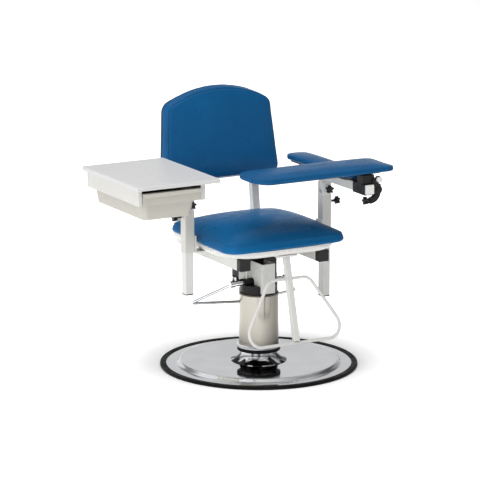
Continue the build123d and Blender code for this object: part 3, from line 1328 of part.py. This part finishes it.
with BuildPart() as flip_pad:
    with BuildSketch(Plane.XY.offset(FLIP_PAD_BOTTOM)) as flip_plan:
        with Locations(((FLIP_LEFT + FLIP_RIGHT) / 2, (FLIP_FRONT + FLIP_BACK) / 2)):
            Rectangle(FLIP_RIGHT - FLIP_LEFT, FLIP_BACK - FLIP_FRONT)
        fillet(flip_plan.vertices().sort_by(Axis.X)[:2], radius=62)
        fillet(flip_plan.vertices().sort_by(Axis.X)[-2:], radius=34)
    extrude(amount=FLIP_PAD_TOP - FLIP_PAD_BOTTOM)
    fillet(flip_pad.edges().group_by(Axis.Z)[-1], radius=8)
    fillet(flip_pad.edges().group_by(Axis.Z)[0], radius=5)
flip_pad.part.label = "flip_pad"
export_step(flip_pad.part, "parts/flip_pad.step")
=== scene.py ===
import json
from math import cos, radians, sin

import bmesh
import bpy
import numpy as np
from mathutils import Matrix, Vector
from mathutils.bvhtree import BVHTree


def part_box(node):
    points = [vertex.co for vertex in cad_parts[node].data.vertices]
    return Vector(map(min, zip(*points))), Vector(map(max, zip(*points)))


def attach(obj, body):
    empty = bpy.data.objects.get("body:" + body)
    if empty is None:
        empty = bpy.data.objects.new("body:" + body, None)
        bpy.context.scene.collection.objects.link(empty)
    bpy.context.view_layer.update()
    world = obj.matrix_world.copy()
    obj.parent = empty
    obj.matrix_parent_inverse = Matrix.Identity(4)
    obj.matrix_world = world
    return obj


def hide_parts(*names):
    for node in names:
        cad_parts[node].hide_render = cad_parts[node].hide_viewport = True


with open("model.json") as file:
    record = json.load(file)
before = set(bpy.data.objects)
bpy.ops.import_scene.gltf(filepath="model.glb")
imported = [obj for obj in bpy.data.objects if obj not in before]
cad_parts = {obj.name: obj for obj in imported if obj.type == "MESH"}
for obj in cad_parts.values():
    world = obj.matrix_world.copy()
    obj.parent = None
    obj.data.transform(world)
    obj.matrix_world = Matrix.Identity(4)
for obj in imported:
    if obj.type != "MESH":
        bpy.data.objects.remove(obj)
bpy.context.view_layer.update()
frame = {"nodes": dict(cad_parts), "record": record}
nodes = frame["nodes"]
scene = bpy.context.scene

# Camera, measured in the row frame (metres, radians, millimetres of lens)
AIM = Vector((-0.0527, 0.0292, 0.4083))
AZIMUTH = radians(-29.0)
ELEVATION = radians(12.9)
DISTANCE = 9.786
LENS = 230.25
SENSOR = 36.0
RIGHT_OF_VIEW = Vector((cos(AZIMUTH), sin(AZIMUTH), 0))

RECLINE = radians(6.7)  # the backrest's lean from upright

# Seams, measured from each cushion's padded face
SEAT_SEAM = 0.026
ARM_SEAM = 0.0065
STITCH_GAP = 0.004
BACK_SEAM = 0.009
BACK_STITCH_GAP = 0.0045
BACK_REAR_SEAM = 0.038
BACK_FACE = Vector((0, 0.225, 0.563))  # a point on the backrest's front face

# How a pad is shaped before and after it swells
DOME_POWER = 2.2
TOP_DROP = 0.2  # part of the side shrink that also comes off the top
WELD_DISTANCE = 0.00001
SWELL_FRAMES = 20
CLOTH = {
    "quality": 4,
    "mass": 0.3,
    "tension_stiffness": 12,
    "compression_stiffness": 12,
    "shear_stiffness": 6,
    "bending_stiffness": 0.8,
    "use_pressure": True,
    "uniform_pressure_force": 4.0,
}


# ------------------------------------------------------------------ materials


class Paint:
    """A principled material with object-space procedural detail."""

    def __init__(self, name, base, rough, metallic=0.0, **sockets):
        self.material = bpy.data.materials.new(name)
        self.material.use_nodes = True
        self.tree = self.material.node_tree
        self.shader = self.tree.nodes["Principled BSDF"]
        self.base = base
        self.shader.inputs["Base Color"].default_value = (*base, 1)
        self.shader.inputs["Roughness"].default_value = rough
        self.shader.inputs["Metallic"].default_value = metallic
        for socket, value in sockets.items():
            self.shader.inputs[socket.replace("_", " ")].default_value = value
        self.place = self.tree.nodes.new("ShaderNodeTexCoord").outputs["Object"]

    def add(self, kind, **settings):
        node = self.tree.nodes.new(kind)
        for key, value in settings.items():
            setattr(node, key, value)
        return node

    def link(self, source, target):
        self.tree.links.new(source, target)

    def stretched(self, stretch):
        mapping = self.add("ShaderNodeMapping")
        mapping.inputs["Scale"].default_value = stretch
        self.link(self.place, mapping.inputs["Vector"])
        return mapping.outputs["Vector"]

    def noise(self, scale, detail=3.0, stretch=(1, 1, 1)):
        texture = self.add("ShaderNodeTexNoise")
        texture.inputs["Scale"].default_value = scale
        texture.inputs["Detail"].default_value = detail
        self.link(self.stretched(stretch), texture.inputs["Vector"])
        return texture.outputs["Fac"]

    def spread(self, value, low, high, lowest=0.35, highest=0.65):
        """The value mapped from lowest..highest to low..high."""
        scale = self.add("ShaderNodeMapRange")
        self.link(value, scale.inputs["Value"])
        scale.inputs["From Min"].default_value = lowest
        scale.inputs["From Max"].default_value = highest
        scale.inputs["To Min"].default_value = low
        scale.inputs["To Max"].default_value = high
        return scale.outputs["Result"]

    def mottle(self, value, darker, lighter):
        """Base colour between a darker and a lighter shade of the same colour."""
        mix = self.add("ShaderNodeMix", data_type="RGBA")
        self.link(self.spread(value, 0, 1), mix.inputs["Factor"])
        mix.inputs["A"].default_value = (*[c * darker for c in self.base], 1)
        mix.inputs["B"].default_value = (*[min(1, c * lighter) for c in self.base], 1)
        self.link(mix.outputs["Result"], self.shader.inputs["Base Color"])
        return self

    def along(self, direction):
        """Distance along a direction, in metres of the row frame."""
        dot = self.add("ShaderNodeVectorMath", operation="DOT_PRODUCT")
        dot.inputs[1].default_value = direction
        self.link(self.place, dot.inputs[0])
        return dot.outputs["Value"]

    def tint(self, value, colour, low, high):
        """Another colour laid over the base where value is high."""
        mix = self.add("ShaderNodeMix", data_type="RGBA")
        self.link(self.spread(value, 0, 1, low, high), mix.inputs["Factor"])
        linked = self.shader.inputs["Base Color"].links
        if linked:
            self.link(linked[0].from_socket, mix.inputs["A"])
        else:
            mix.inputs["A"].default_value = (*self.base, 1)
        mix.inputs["B"].default_value = (*colour, 1)
        self.link(mix.outputs["Result"], self.shader.inputs["Base Color"])
        return self

    def gloss(self, value, low, high):
        """Roughness between two levels."""
        self.link(self.spread(value, low, high), self.shader.inputs["Roughness"])
        return self

    def bump(self, value, height, strength=1.0):
        """Relief laid over any relief already there; height is in metres."""
        relief = self.add("ShaderNodeBump")
        relief.inputs["Strength"].default_value = strength
        relief.inputs["Distance"].default_value = height
        self.link(value, relief.inputs["Height"])
        linked = self.shader.inputs["Normal"].links
        if linked:
            self.link(linked[0].from_socket, relief.inputs["Normal"])
        self.link(relief.outputs["Normal"], self.shader.inputs["Normal"])
        return self


def vinyl(name, base):
    """Upholstery vinyl: a fine leather grain under a soft sheen."""
    paint = Paint(name, base, 0.32, Specular_IOR_Level=0.09)
    paint.mottle(paint.noise(9, 5), 0.93, 1.07)
    paint.gloss(paint.noise(38, 4), 0.27, 0.37)
    paint.bump(paint.noise(700, 3), 0.00004, 0.25)
    paint.bump(paint.noise(2600, 2), 0.00003, 0.2)
    return paint.material


def chrome(name, base=(0.83, 0.84, 0.86), rough=(0.03, 0.09)):
    """Plated or ground metal with faint wipe marks."""
    paint = Paint(name, base, rough[0], 1.0)
    paint.mottle(paint.noise(14, 4), 0.95, 1.03)
    paint.gloss(paint.noise(26, 6), *rough)
    paint.bump(paint.noise(60, 2), 0.00006, 0.12)
    return paint.material


def column_sheet(name):
    """Brushed tube with a painted dark reflection: its colour turns dark towards its right side, as seen
    from the camera.
    """
    paint = Paint(name, (0.40, 0.38, 0.335), 0.2, 1.0)
    paint.mottle(paint.noise(220, 4, (1, 1, 0.02)), 0.97, 1.02)
    # painted reflection: the base colour turns dark towards the tube's right side as seen from the camera
    paint.tint(paint.along(RIGHT_OF_VIEW), (0.10, 0.096, 0.084), 0.004, 0.064)
    paint.gloss(paint.noise(220, 3, (1, 1, 0.02)), 0.18, 0.24)
    paint.bump(paint.noise(1300, 2, (1, 1, 0.02)), 0.00001, 0.15)
    return paint.material


def chrome_painted_reflection(name):
    """Polished skirt with a painted reflection: dark upright streaks laid into its colour stand in for a
    dark room mirrored in it.
    """
    paint = Paint(name, (0.85, 0.86, 0.88), 0.06, 1.0)
    # painted reflection: dark upright streaks in the base colour
    paint.tint(paint.noise(26, 1, (1, 1, 0.02)), (0.02, 0.02, 0.022), 0.44, 0.50)
    paint.gloss(paint.noise(26, 6), 0.04, 0.1)
    paint.bump(paint.noise(60, 2), 0.00004, 0.1)
    return paint.material


def zinc(name):
    """Dull plated steel with a fine even grain."""
    grain = 220
    rough = 0.32
    paint = Paint(name, (0.55, 0.55, 0.54), rough, 1.0)
    paint.mottle(paint.noise(grain, 4), 0.97, 1.02)
    paint.gloss(paint.noise(grain, 3), rough * 0.9, rough * 1.1)
    paint.bump(paint.noise(grain * 6, 2), 0.00001, 0.15)
    return paint.material


def coated(name, base, rough=0.42, grain=700, height=0.00008, specular=0.5):
    """Powder coat: faint orange peel, dulled a little in patches."""
    paint = Paint(name, base, rough, Specular_IOR_Level=specular)
    paint.mottle(paint.noise(16, 4), 0.98, 1.01)
    paint.gloss(paint.noise(45, 3), rough * 0.85, rough * 1.2)
    paint.bump(paint.noise(grain, 3), height, 0.6)
    return paint.material


def speckled(name, base, speck, rough, grain, amount=0.62, patch=(0.92, 1.08)):
    """Moulded or textured surface with lighter specks."""
    paint = Paint(name, base, rough, Specular_IOR_Level=0.35)
    paint.mottle(paint.noise(20, 3), *patch)
    paint.tint(paint.noise(grain, 2), speck, amount, amount + 0.12)
    paint.gloss(paint.noise(60, 3), rough * 0.85, min(1.0, rough * 1.15))
    paint.bump(paint.noise(grain, 2), 0.00012, 0.7)
    return paint.material


def plywood(name):
    """Black-stained board with its plies showing at the edge."""
    paint = Paint(name, (0.035, 0.034, 0.034), 0.62)
    paint.mottle(paint.noise(22, 6, (1, 12, 60)), 0.72, 1.18)
    paint.gloss(paint.noise(70, 3), 0.55, 0.72)
    paint.bump(paint.noise(160, 4, (1, 8, 8)), 0.00015, 0.6)
    return paint.material


def rubber(name):
    """Matt black rubber with dusty scuffs."""
    paint = Paint(name, (0.004, 0.004, 0.004), 0.55, Specular_IOR_Level=0.12)
    paint.mottle(paint.noise(30, 4), 0.7, 1.5)
    paint.tint(paint.noise(7, 6), (0.012, 0.012, 0.011), 0.55, 0.75)
    paint.gloss(paint.noise(55, 4), 0.42, 0.62)
    paint.bump(paint.noise(900, 2), 0.0001, 0.5)
    return paint.material


BLUE = (0.006, 0.080, 0.208)
# same vinyl as BLUE, painted a lighter blue on the seat to stand in for how light falls on it
SEAT_BLUE_PAINTED_LIGHT = (0.006, 0.100, 0.255)
LOOKS = {
    "black_rubber": rubber("ring_rubber"),
    "steel_plate": coated("plate_paint", (0.05, 0.05, 0.055), 0.5),
    "polished_chrome": chrome("polished_plate"),
    "brushed_stainless": column_sheet("column_sheet"),
    "cast_base": coated("socket_casting", (0.05, 0.05, 0.05), 0.6, 300, 0.0003),
    "ground_steel": chrome("ground_rod", (0.66, 0.66, 0.66), (0.12, 0.2)),
    "bush_nylon": speckled("bush_plastic", (0.10, 0.08, 0.065), (0.16, 0.14, 0.12), 0.5, 900),
    "black_casting": coated("head_casting", (0.006, 0.006, 0.007), 0.45, 260, 0.0004, 0.25),
    "grey_sheet": coated("grey_coat", (0.55, 0.545, 0.52)),
    "black_steel": speckled("black_coat", (0.006, 0.006, 0.006), (0.02, 0.02, 0.02), 0.55, 1500, 0.66),
    "satin_steel": coated("sleeve_coat", (0.56, 0.55, 0.52), 0.36),
    "satin_aluminium": coated("frame_coat", (0.64, 0.64, 0.625), 0.36),
    "white_plastic": coated("pan_moulding", (0.66, 0.655, 0.63), 0.28, 420, 0.00012),
    "white_coat": coated("rail_coat", (0.62, 0.615, 0.59), 0.36),
    "plywood": plywood("board_wood"),
    "blue_vinyl": vinyl("upholstery", BLUE),
    "zinc_steel": zinc("zinc_plate"),
    "black_plastic": speckled(
        "knob_plastic", (0.005, 0.005, 0.006), (0.018, 0.018, 0.018), 0.42, 1800, 0.66
    ),
    "grey_laminate": speckled(
        "tray_laminate", (0.55, 0.55, 0.55), (0.53, 0.53, 0.53), 0.42, 1300, 0.66, (0.99, 1.01)
    ),
    "beige_plastic": speckled(
        "drawer_plastic", (0.44, 0.425, 0.38), (0.46, 0.45, 0.41), 0.45, 900, 0.66, (0.985, 1.015)
    ),
    "cap_grey": speckled("cap_plastic", (0.66, 0.66, 0.64), (0.72, 0.72, 0.70), 0.4, 900),
    # looks that are not material slots of the record
    # bell skirt: chrome with a painted dark reflection
    "bell_chrome": chrome_painted_reflection("bell_plate"),
    # seat: the upholstery vinyl with painted light, a lighter shade than the back's
    "seat_vinyl_painted_light": vinyl("seat_cover", SEAT_BLUE_PAINTED_LIGHT),
    "footrest_coat": coated("footrest_coat", (0.60, 0.595, 0.575), 0.34),
    "cover_sheet": coated("cover_sheet", (0.62, 0.62, 0.60), 0.3),
    "stitch_thread": coated("stitch_thread", (0.02, 0.12, 0.28), 0.6, 3000, 0.0001),
}

slots = {row["node"]: row["material_slot"] for row in frame["record"]["subparts"]}

# Nodes whose look differs from that of their slot
OTHER_LOOKS = {
    "footrest_loop": "footrest_coat",
    "footrest_post": "footrest_coat",
    "back_board": "black_steel",
    "pump_cover": "cover_sheet",
    "base_bell": "bell_chrome",
}


def wear(piece, look):
    piece.data.materials.clear()
    piece.data.materials.append(LOOKS[look])


for name, piece in nodes.items():
    look = LOOKS[OTHER_LOOKS.get(name, slots[name])]
    if piece.material_slots:
        for place in piece.material_slots:
            place.material = look
    else:
        piece.data.materials.append(look)


# ------------------------------------------------------------------ mesh tools


def add_object(name, mesh, body, look):
    """A new piece of the visual model, riding on a body."""
    piece = bpy.data.objects.new(name, mesh)
    scene.collection.objects.link(piece)
    wear(piece, look)
    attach(piece, body)
    return piece


def settled(piece):
    """The piece's mesh with its modifiers applied."""
    graph = bpy.context.evaluated_depsgraph_get()
    graph.update()
    return bpy.data.meshes.new_from_object(piece.evaluated_get(graph))


def smooth(mesh):
    for face in mesh.polygons:
        face.use_smooth = True


def remeshed(source, voxel):
    """A voxel copy of a CAD node, as a plain mesh."""
    mesh = source.data.copy()
    joined = bmesh.new()
    joined.from_mesh(mesh)
    bmesh.ops.remove_doubles(joined, verts=joined.verts[:], dist=WELD_DISTANCE)
    joined.to_mesh(mesh)
    joined.free()
    copy = bpy.data.objects.new("voxels", mesh)
    scene.collection.objects.link(copy)
    change = copy.modifiers.new("voxels", "REMESH")
    change.mode = "VOXEL"
    change.voxel_size = voxel
    relax = copy.modifiers.new("relax", "SMOOTH")
    relax.factor = 0.5
    relax.iterations = 16
    result = settled(copy)
    bpy.data.objects.remove(copy)
    return result


def inflate(mesh, held, cap):
    """Cloth pressure swells the mesh; held vertices stay, none moves past cap."""
    start = [v.co[:] for v in mesh.vertices]
    pad = bpy.data.objects.new("pad", mesh)
    scene.collection.objects.link(pad)
    group = pad.vertex_groups.new(name="held")
    group.add([v.index for v in mesh.vertices if held(v.co)], 1.0, "REPLACE")
    cloth = pad.modifiers.new("swell", "CLOTH")
    for setting, value in CLOTH.items():
        setattr(cloth.settings, setting, value)
    cloth.settings.vertex_group_mass = "held"
    cloth.settings.effector_weights.gravity = 0
    cloth.collision_settings.use_collision = False
    cloth.point_cache.frame_start = 1
    cloth.point_cache.frame_end = SWELL_FRAMES
    for step in range(1, SWELL_FRAMES + 1):
        scene.frame_set(step)
        bpy.context.view_layer.update()
    result = settled(pad)
    bpy.data.objects.remove(pad)
    scene.frame_set(1)
    stretch_taut(result, np.array(start), cap, held)
    return result


def stretch_taut(mesh, start, cap, held, rounds=60):
    """Evens out the swelling over the skin and eases it towards cap, so no crease is left."""
    count = len(mesh.vertices)
    now = np.array([v.co[:] for v in mesh.vertices])
    move = now - start
    length = np.linalg.norm(move, axis=1, keepdims=True) + 1e-9
    move *= cap * np.tanh(length / cap) / length
    ends = np.array([e.vertices[:] for e in mesh.edges])
    near = np.zeros((count, 1))
    np.add.at(near, ends[:, 0], 1)
    np.add.at(near, ends[:, 1], 1)
    free = np.array([[0.0 if held(v.co) else 1.0] for v in mesh.vertices])
    for _ in range(rounds):
        total = np.zeros((count, 3))
        np.add.at(total, ends[:, 0], move[ends[:, 1]])
        np.add.at(total, ends[:, 1], move[ends[:, 0]])
        move = (move + total / near) / 2 * free
    for vertex, place in zip(mesh.vertices, start + move):
        vertex.co = place


def pad_piece(name, node, body, turn, shrink, held_height, crown, cap, voxel, look="blue_vinyl", sag=0.0035):
    """Swollen, crowned replacement for one cushion solid.

    turn takes the row frame to the pad's own frame, where +Z is its padded face.
    The sides draw in by shrink and the rim drops by sag, the middle rises by crown,
    and the skin swells by cap at most, except below held_height, where it is fixed."""
    mesh = remeshed(nodes[node], voxel)
    mesh.transform(turn)
    mesh.update()
    low = min(v.co.z for v in mesh.vertices)
    high = max(v.co.z for v in mesh.vertices)
    xs = [v.co.x for v in mesh.vertices]
    ys = [v.co.y for v in mesh.vertices]
    middle = Vector(((min(xs) + max(xs)) / 2, (min(ys) + max(ys)) / 2, 0))
    half = Vector(((max(xs) - min(xs)) / 2, (max(ys) - min(ys)) / 2, 1))
    normals = [v.normal.copy() for v in mesh.vertices]
    for vertex, normal in zip(mesh.vertices, normals):
        side = Vector((normal.x, normal.y, 0))
        vertex.co -= side * shrink
        level = (vertex.co.z - low) / (high - low)
        across = min(1, abs((vertex.co.x - middle.x) / half.x))
        along = min(1, abs((vertex.co.y - middle.y) / half.y))
        dome = (1 - across**DOME_POWER) * (1 - along**DOME_POWER)
        vertex.co.z -= level * sag * (1 - dome) + level * shrink * TOP_DROP
        vertex.co.z += level * crown * dome
    mesh.update()
    mesh = inflate(mesh, lambda co: co.z < low + held_height, cap)
    mesh.transform(turn.inverted())
    smooth(mesh)
    piece = add_object(name, mesh, body, look)
    divide = piece.modifiers.new("divide", "SUBSURF")
    divide.levels = 1
    divide.render_levels = 1
    piece.data = settled(piece)
    piece.modifiers.clear()
    smooth(piece.data)
    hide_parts(node)
    return piece


def ring_at(piece, point, normal):
    """Ordered points where a plane cuts the piece's mesh, as one closed loop."""
    cut = bmesh.new()
    cut.from_mesh(piece.data)
    found = bmesh.ops.bisect_plane(
        cut, geom=cut.verts[:] + cut.edges[:] + cut.faces[:], plane_co=point, plane_no=normal
    )
    edges = [e for e in found["geom_cut"] if isinstance(e, bmesh.types.BMEdge)]
    near = {}
    for edge in edges:
        a, b = edge.verts
        near.setdefault(a, []).append(b)
        near.setdefault(b, []).append(a)
    best = []
    left = set(near)
    while left:
        first = left.pop()
        loop = [first]
        here = first
        while True:
            step = [v for v in near[here] if v in left]
            if not step:
                break
            here = step[0]
            left.discard(here)
            loop.append(here)
        if len(loop) > len(best):
            best = loop
    points = [v.co.copy() for v in best]
    cut.free()
    return points


def evened(points, step):
    """The closed loop's points, evenly spaced and lightly smoothed."""
    for _ in range(4):
        count = len(points)
        points = [(points[i - 1] + points[i] * 2 + points[(i + 1) % count]) / 4 for i in range(count)]
    lengths = [(points[(i + 1) % len(points)] - points[i]).length for i in range(len(points))]
    total = sum(lengths)
    count = max(8, round(total / step))
    even = []
    spot = 0
    walked = 0.0
    for number in range(count):
        goal = total * number / count
        while walked + lengths[spot] < goal:
            walked += lengths[spot]
            spot += 1
        part = (goal - walked) / lengths[spot]
        even.append(points[spot].lerp(points[(spot + 1) % len(points)], part))
    return even


def tube_mesh(name, points, radius, closed=True, sides=8):
    """A tube along a line of points."""
    curve = bpy.data.curves.new(name, "CURVE")
    curve.dimensions = "3D"
    curve.bevel_depth = radius
    curve.bevel_resolution = sides // 4
    spline = curve.splines.new("POLY")
    spline.points.add(len(points) - 1)
    for place, point in zip(spline.points, points):
        place.co = (*point, 1)
    spline.use_cyclic_u = closed
    holder = bpy.data.objects.new(name, curve)
    scene.collection.objects.link(holder)
    mesh = settled(holder)
    bpy.data.objects.remove(holder)
    smooth(mesh)
    return mesh


def welt(name, pad, body, point, normal, radius=0.0016, outward=0.0004):
    """Piping sewn into the seam where a plane crosses the pad."""
    loop = evened(ring_at(pad, point, normal), 0.004)
    middle = sum(loop, Vector()) / len(loop)
    moved = [p + (p - middle).normalized() * outward for p in loop]
    look = pad.data.materials[0]
    piece = add_object(name, tube_mesh(name, moved, radius), body, "blue_vinyl")
    piece.data.materials[0] = look
    return piece


def stitches(name, pad, body, point, normal, pitch=0.006, length=0.0036, radius=0.0004):
    """A row of short threads lying on the pad's surface beside a seam."""
    loop = evened(ring_at(pad, point, normal), pitch)
    surface = BVHTree.FromPolygons(
        [v.co for v in pad.data.vertices], [tuple(p.vertices) for p in pad.data.polygons]
    )
    made = bmesh.new()
    for spot, here in enumerate(loop):
        ahead = (loop[(spot + 1) % len(loop)] - here).normalized()
        found = surface.find_nearest(here)
        outward = found[1]
        across = ahead.cross(outward).normalized()
        turn = Matrix((ahead, across, outward)).transposed().to_4x4()
        place = Matrix.Translation(found[0] + outward * radius * 0.4) @ turn
        shape = Matrix.Diagonal((length / 2, radius * 1.3, radius, 1))
        bmesh.ops.create_uvsphere(made, u_segments=6, v_segments=4, radius=1, matrix=place @ shape)
    mesh = bpy.data.meshes.new(name)
    made.to_mesh(mesh)
    made.free()
    smooth(mesh)
    return add_object(name, mesh, body, "stitch_thread")


# ------------------------------------------------------------------- cushions

UP = Vector((0, 0, 1))
BACK_NORMAL = Vector((0, -cos(RECLINE), sin(RECLINE)))
LYING = Matrix.Identity(4)
LEANING = Matrix(((1, 0, 0), (0, sin(RECLINE), cos(RECLINE)), BACK_NORMAL)).to_4x4()

# Shapes of the pads: thick ones for seat and back, thin ones for the two arms
THICK = {"shrink": 0.004, "held_height": 0.008, "voxel": 0.005}
THIN = {"shrink": 0.002, "held_height": 0.004, "voxel": 0.004, "crown": 0.002, "cap": 0.005}

seat = pad_piece(
    "seat_upholstery", "seat_cushion", "seat", LYING,
    **THICK, crown=0.006, cap=0.012, look="seat_vinyl_painted_light", sag=0.017,
)
back = pad_piece("back_upholstery", "back_cushion", "seat", LEANING, **THICK, crown=0.003, cap=0.007)
arm = pad_piece("armrest_upholstery", "armrest_pad", "arm_top", LYING, **THIN)
flip = pad_piece("flip_upholstery", "flip_pad", "flip_arm", LYING, **THIN)

for label, pad, body, node, seam in (
    ("seat", seat, "seat", "seat_cushion", SEAT_SEAM),
    ("armrest", arm, "arm_top", "armrest_pad", ARM_SEAM),
    ("flip", flip, "flip_arm", "flip_pad", ARM_SEAM),
):
    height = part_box(node)[1][2] - seam
    welt(label + "_welt", pad, body, Vector((0, 0, height)), UP)
    stitches(label + "_stitches", pad, body, Vector((0, 0, height + STITCH_GAP)), UP)
    stitches(label + "_lower_stitches", pad, body, Vector((0, 0, height - STITCH_GAP)), UP)


def behind_face(depth):
    """A point at a depth behind the backrest's front face."""
    return BACK_FACE - BACK_NORMAL * depth


welt("back_welt", back, "seat", behind_face(BACK_SEAM), BACK_NORMAL)
stitches("back_stitches", back, "seat", behind_face(BACK_SEAM - BACK_STITCH_GAP), BACK_NORMAL)
stitches("back_side_stitches", back, "seat", behind_face(BACK_SEAM + BACK_STITCH_GAP), BACK_NORMAL)
welt("back_rear_welt", back, "seat", behind_face(BACK_REAR_SEAM), BACK_NORMAL)

# ------------------------------------------------------------ floor and studio


def paper_floor(size=40):
    """White paper that glows away from the object; the glow is kept low under it, a painted soft shadow, and
    dimmed towards the right, a painted dark room end for the metal to reflect.
    """
    floor_mesh = bpy.data.meshes.new("floor")
    floor_mesh.from_pydata(
        [(-size, -size, 0), (size, -size, 0), (size, size, 0), (-size, size, 0)], [], [(0, 1, 2, 3)]
    )
    floor = bpy.data.objects.new("floor", floor_mesh)
    scene.collection.objects.link(floor)
    paint = Paint("floor_paper", (0.93, 0.93, 0.93), 0.9)
    paint.mottle(paint.noise(2, 3), 0.995, 1.0)
    paint.shader.inputs["Emission Color"].default_value = (1, 1, 1, 1)
    reach = paint.add("ShaderNodeVectorMath", operation="LENGTH")
    paint.link(paint.place, reach.inputs[0])
    # painted shadow: the glow is low near the middle, under the object
    glow = paint.spread(reach.outputs["Value"], 0.06, 0.8, 0.3, 0.62)
    # painted shade: the glow dims towards the right, a dark room end for the metal to reflect
    dim = paint.spread(paint.along(RIGHT_OF_VIEW), 1.0, 0.12, 0.85, 1.8)
    both = paint.add("ShaderNodeMath", operation="MULTIPLY")
    paint.link(glow, both.inputs[0])
    paint.link(dim, both.inputs[1])
    paint.link(both.outputs["Value"], paint.shader.inputs["Emission Strength"])
    floor_mesh.materials.append(paint.material)


def grey_ramp(tree, stops):
    """A ramp through grey levels, given as (position, level) from 0 to 1."""
    node = tree.nodes.new("ShaderNodeValToRGB")
    ramp = node.color_ramp
    for place, (position, level) in enumerate((stops[0], stops[-1])):
        ramp.elements[place].position = position
        ramp.elements[place].color = (level, level, level, 1)
    for position, level in stops[1:-1]:
        ramp.elements.new(position).color = (level, level, level, 1)
    return node


def room():
    """A pale studio with a dim band at the horizon and a darker right end."""
    world = bpy.data.worlds.new("studio")
    world.use_nodes = True
    scene.world = world
    tree = world.node_tree
    tree.nodes.clear()
    place = tree.nodes.new("ShaderNodeTexCoord")
    split = tree.nodes.new("ShaderNodeSeparateXYZ")
    tree.links.new(place.outputs["Generated"], split.inputs[0])
    rise = grey_ramp(tree, ((0, 0.92), (0.30, 0.88), (0.42, 0.30), (0.55, 0.30), (0.68, 1.0), (1, 1.05)))
    tree.links.new(split.outputs["Z"], rise.inputs["Fac"])
    side = tree.nodes.new("ShaderNodeVectorMath")
    side.operation = "DOT_PRODUCT"
    side.inputs[1].default_value = RIGHT_OF_VIEW
    tree.links.new(place.outputs["Generated"], side.inputs[0])
    across = tree.nodes.new("ShaderNodeMapRange")
    across.inputs["From Min"].default_value = -1
    across.inputs["From Max"].default_value = 1
    tree.links.new(side.outputs["Value"], across.inputs["Value"])
    fade = grey_ramp(tree, ((0, 1.0), (0.35, 1.0), (0.62, 0.72), (0.8, 0.35), (1, 0.45)))
    tree.links.new(across.outputs["Result"], fade.inputs["Fac"])
    both = tree.nodes.new("ShaderNodeMix")
    both.data_type = "RGBA"
    both.blend_type = "MULTIPLY"
    both.inputs["Factor"].default_value = 1
    tree.links.new(rise.outputs["Color"], both.inputs["A"])
    tree.links.new(fade.outputs["Color"], both.inputs["B"])
    light = tree.nodes.new("ShaderNodeBackground")
    light.inputs["Strength"].default_value = 0.85
    tree.links.new(both.outputs["Result"], light.inputs["Color"])
    out = tree.nodes.new("ShaderNodeOutputWorld")
    tree.links.new(light.outputs["Background"], out.inputs["Surface"])


def soft_light(name, place, aim, size, watts):
    data = bpy.data.lights.new(name, "AREA")
    data.shape = "RECTANGLE"
    data.size, data.size_y = size
    data.energy = watts
    lamp = bpy.data.objects.new(name, data)
    lamp.location = place
    lamp.rotation_euler = (Vector(aim) - Vector(place)).to_track_quat("-Z", "Y").to_euler()
    lamp.visible_glossy = False
    scene.collection.objects.link(lamp)


paper_floor()
room()
soft_light("overhead", (-0.6, -0.8, 3.6), aim=(0, 0, 0.4), size=(2.6, 2.6), watts=80)
soft_light("left_fill", (-3.2, -1.6, 1.6), aim=(0, 0, 0.5), size=(1.2, 2.0), watts=26)

# From the aim point towards the camera
toward = Vector((sin(AZIMUTH) * cos(ELEVATION), -cos(AZIMUTH) * cos(ELEVATION), sin(ELEVATION)))
lens = bpy.data.cameras.new("camera")
lens.lens = LENS
lens.sensor_width = SENSOR
lens.clip_end = 100
camera = bpy.data.objects.new("camera", lens)
camera.location = AIM + toward * DISTANCE
camera.rotation_euler = (-toward).to_track_quat("-Z", "Y").to_euler()
scene.collection.objects.link(camera)
scene.camera = camera
scene.view_settings.view_transform = "Standard"
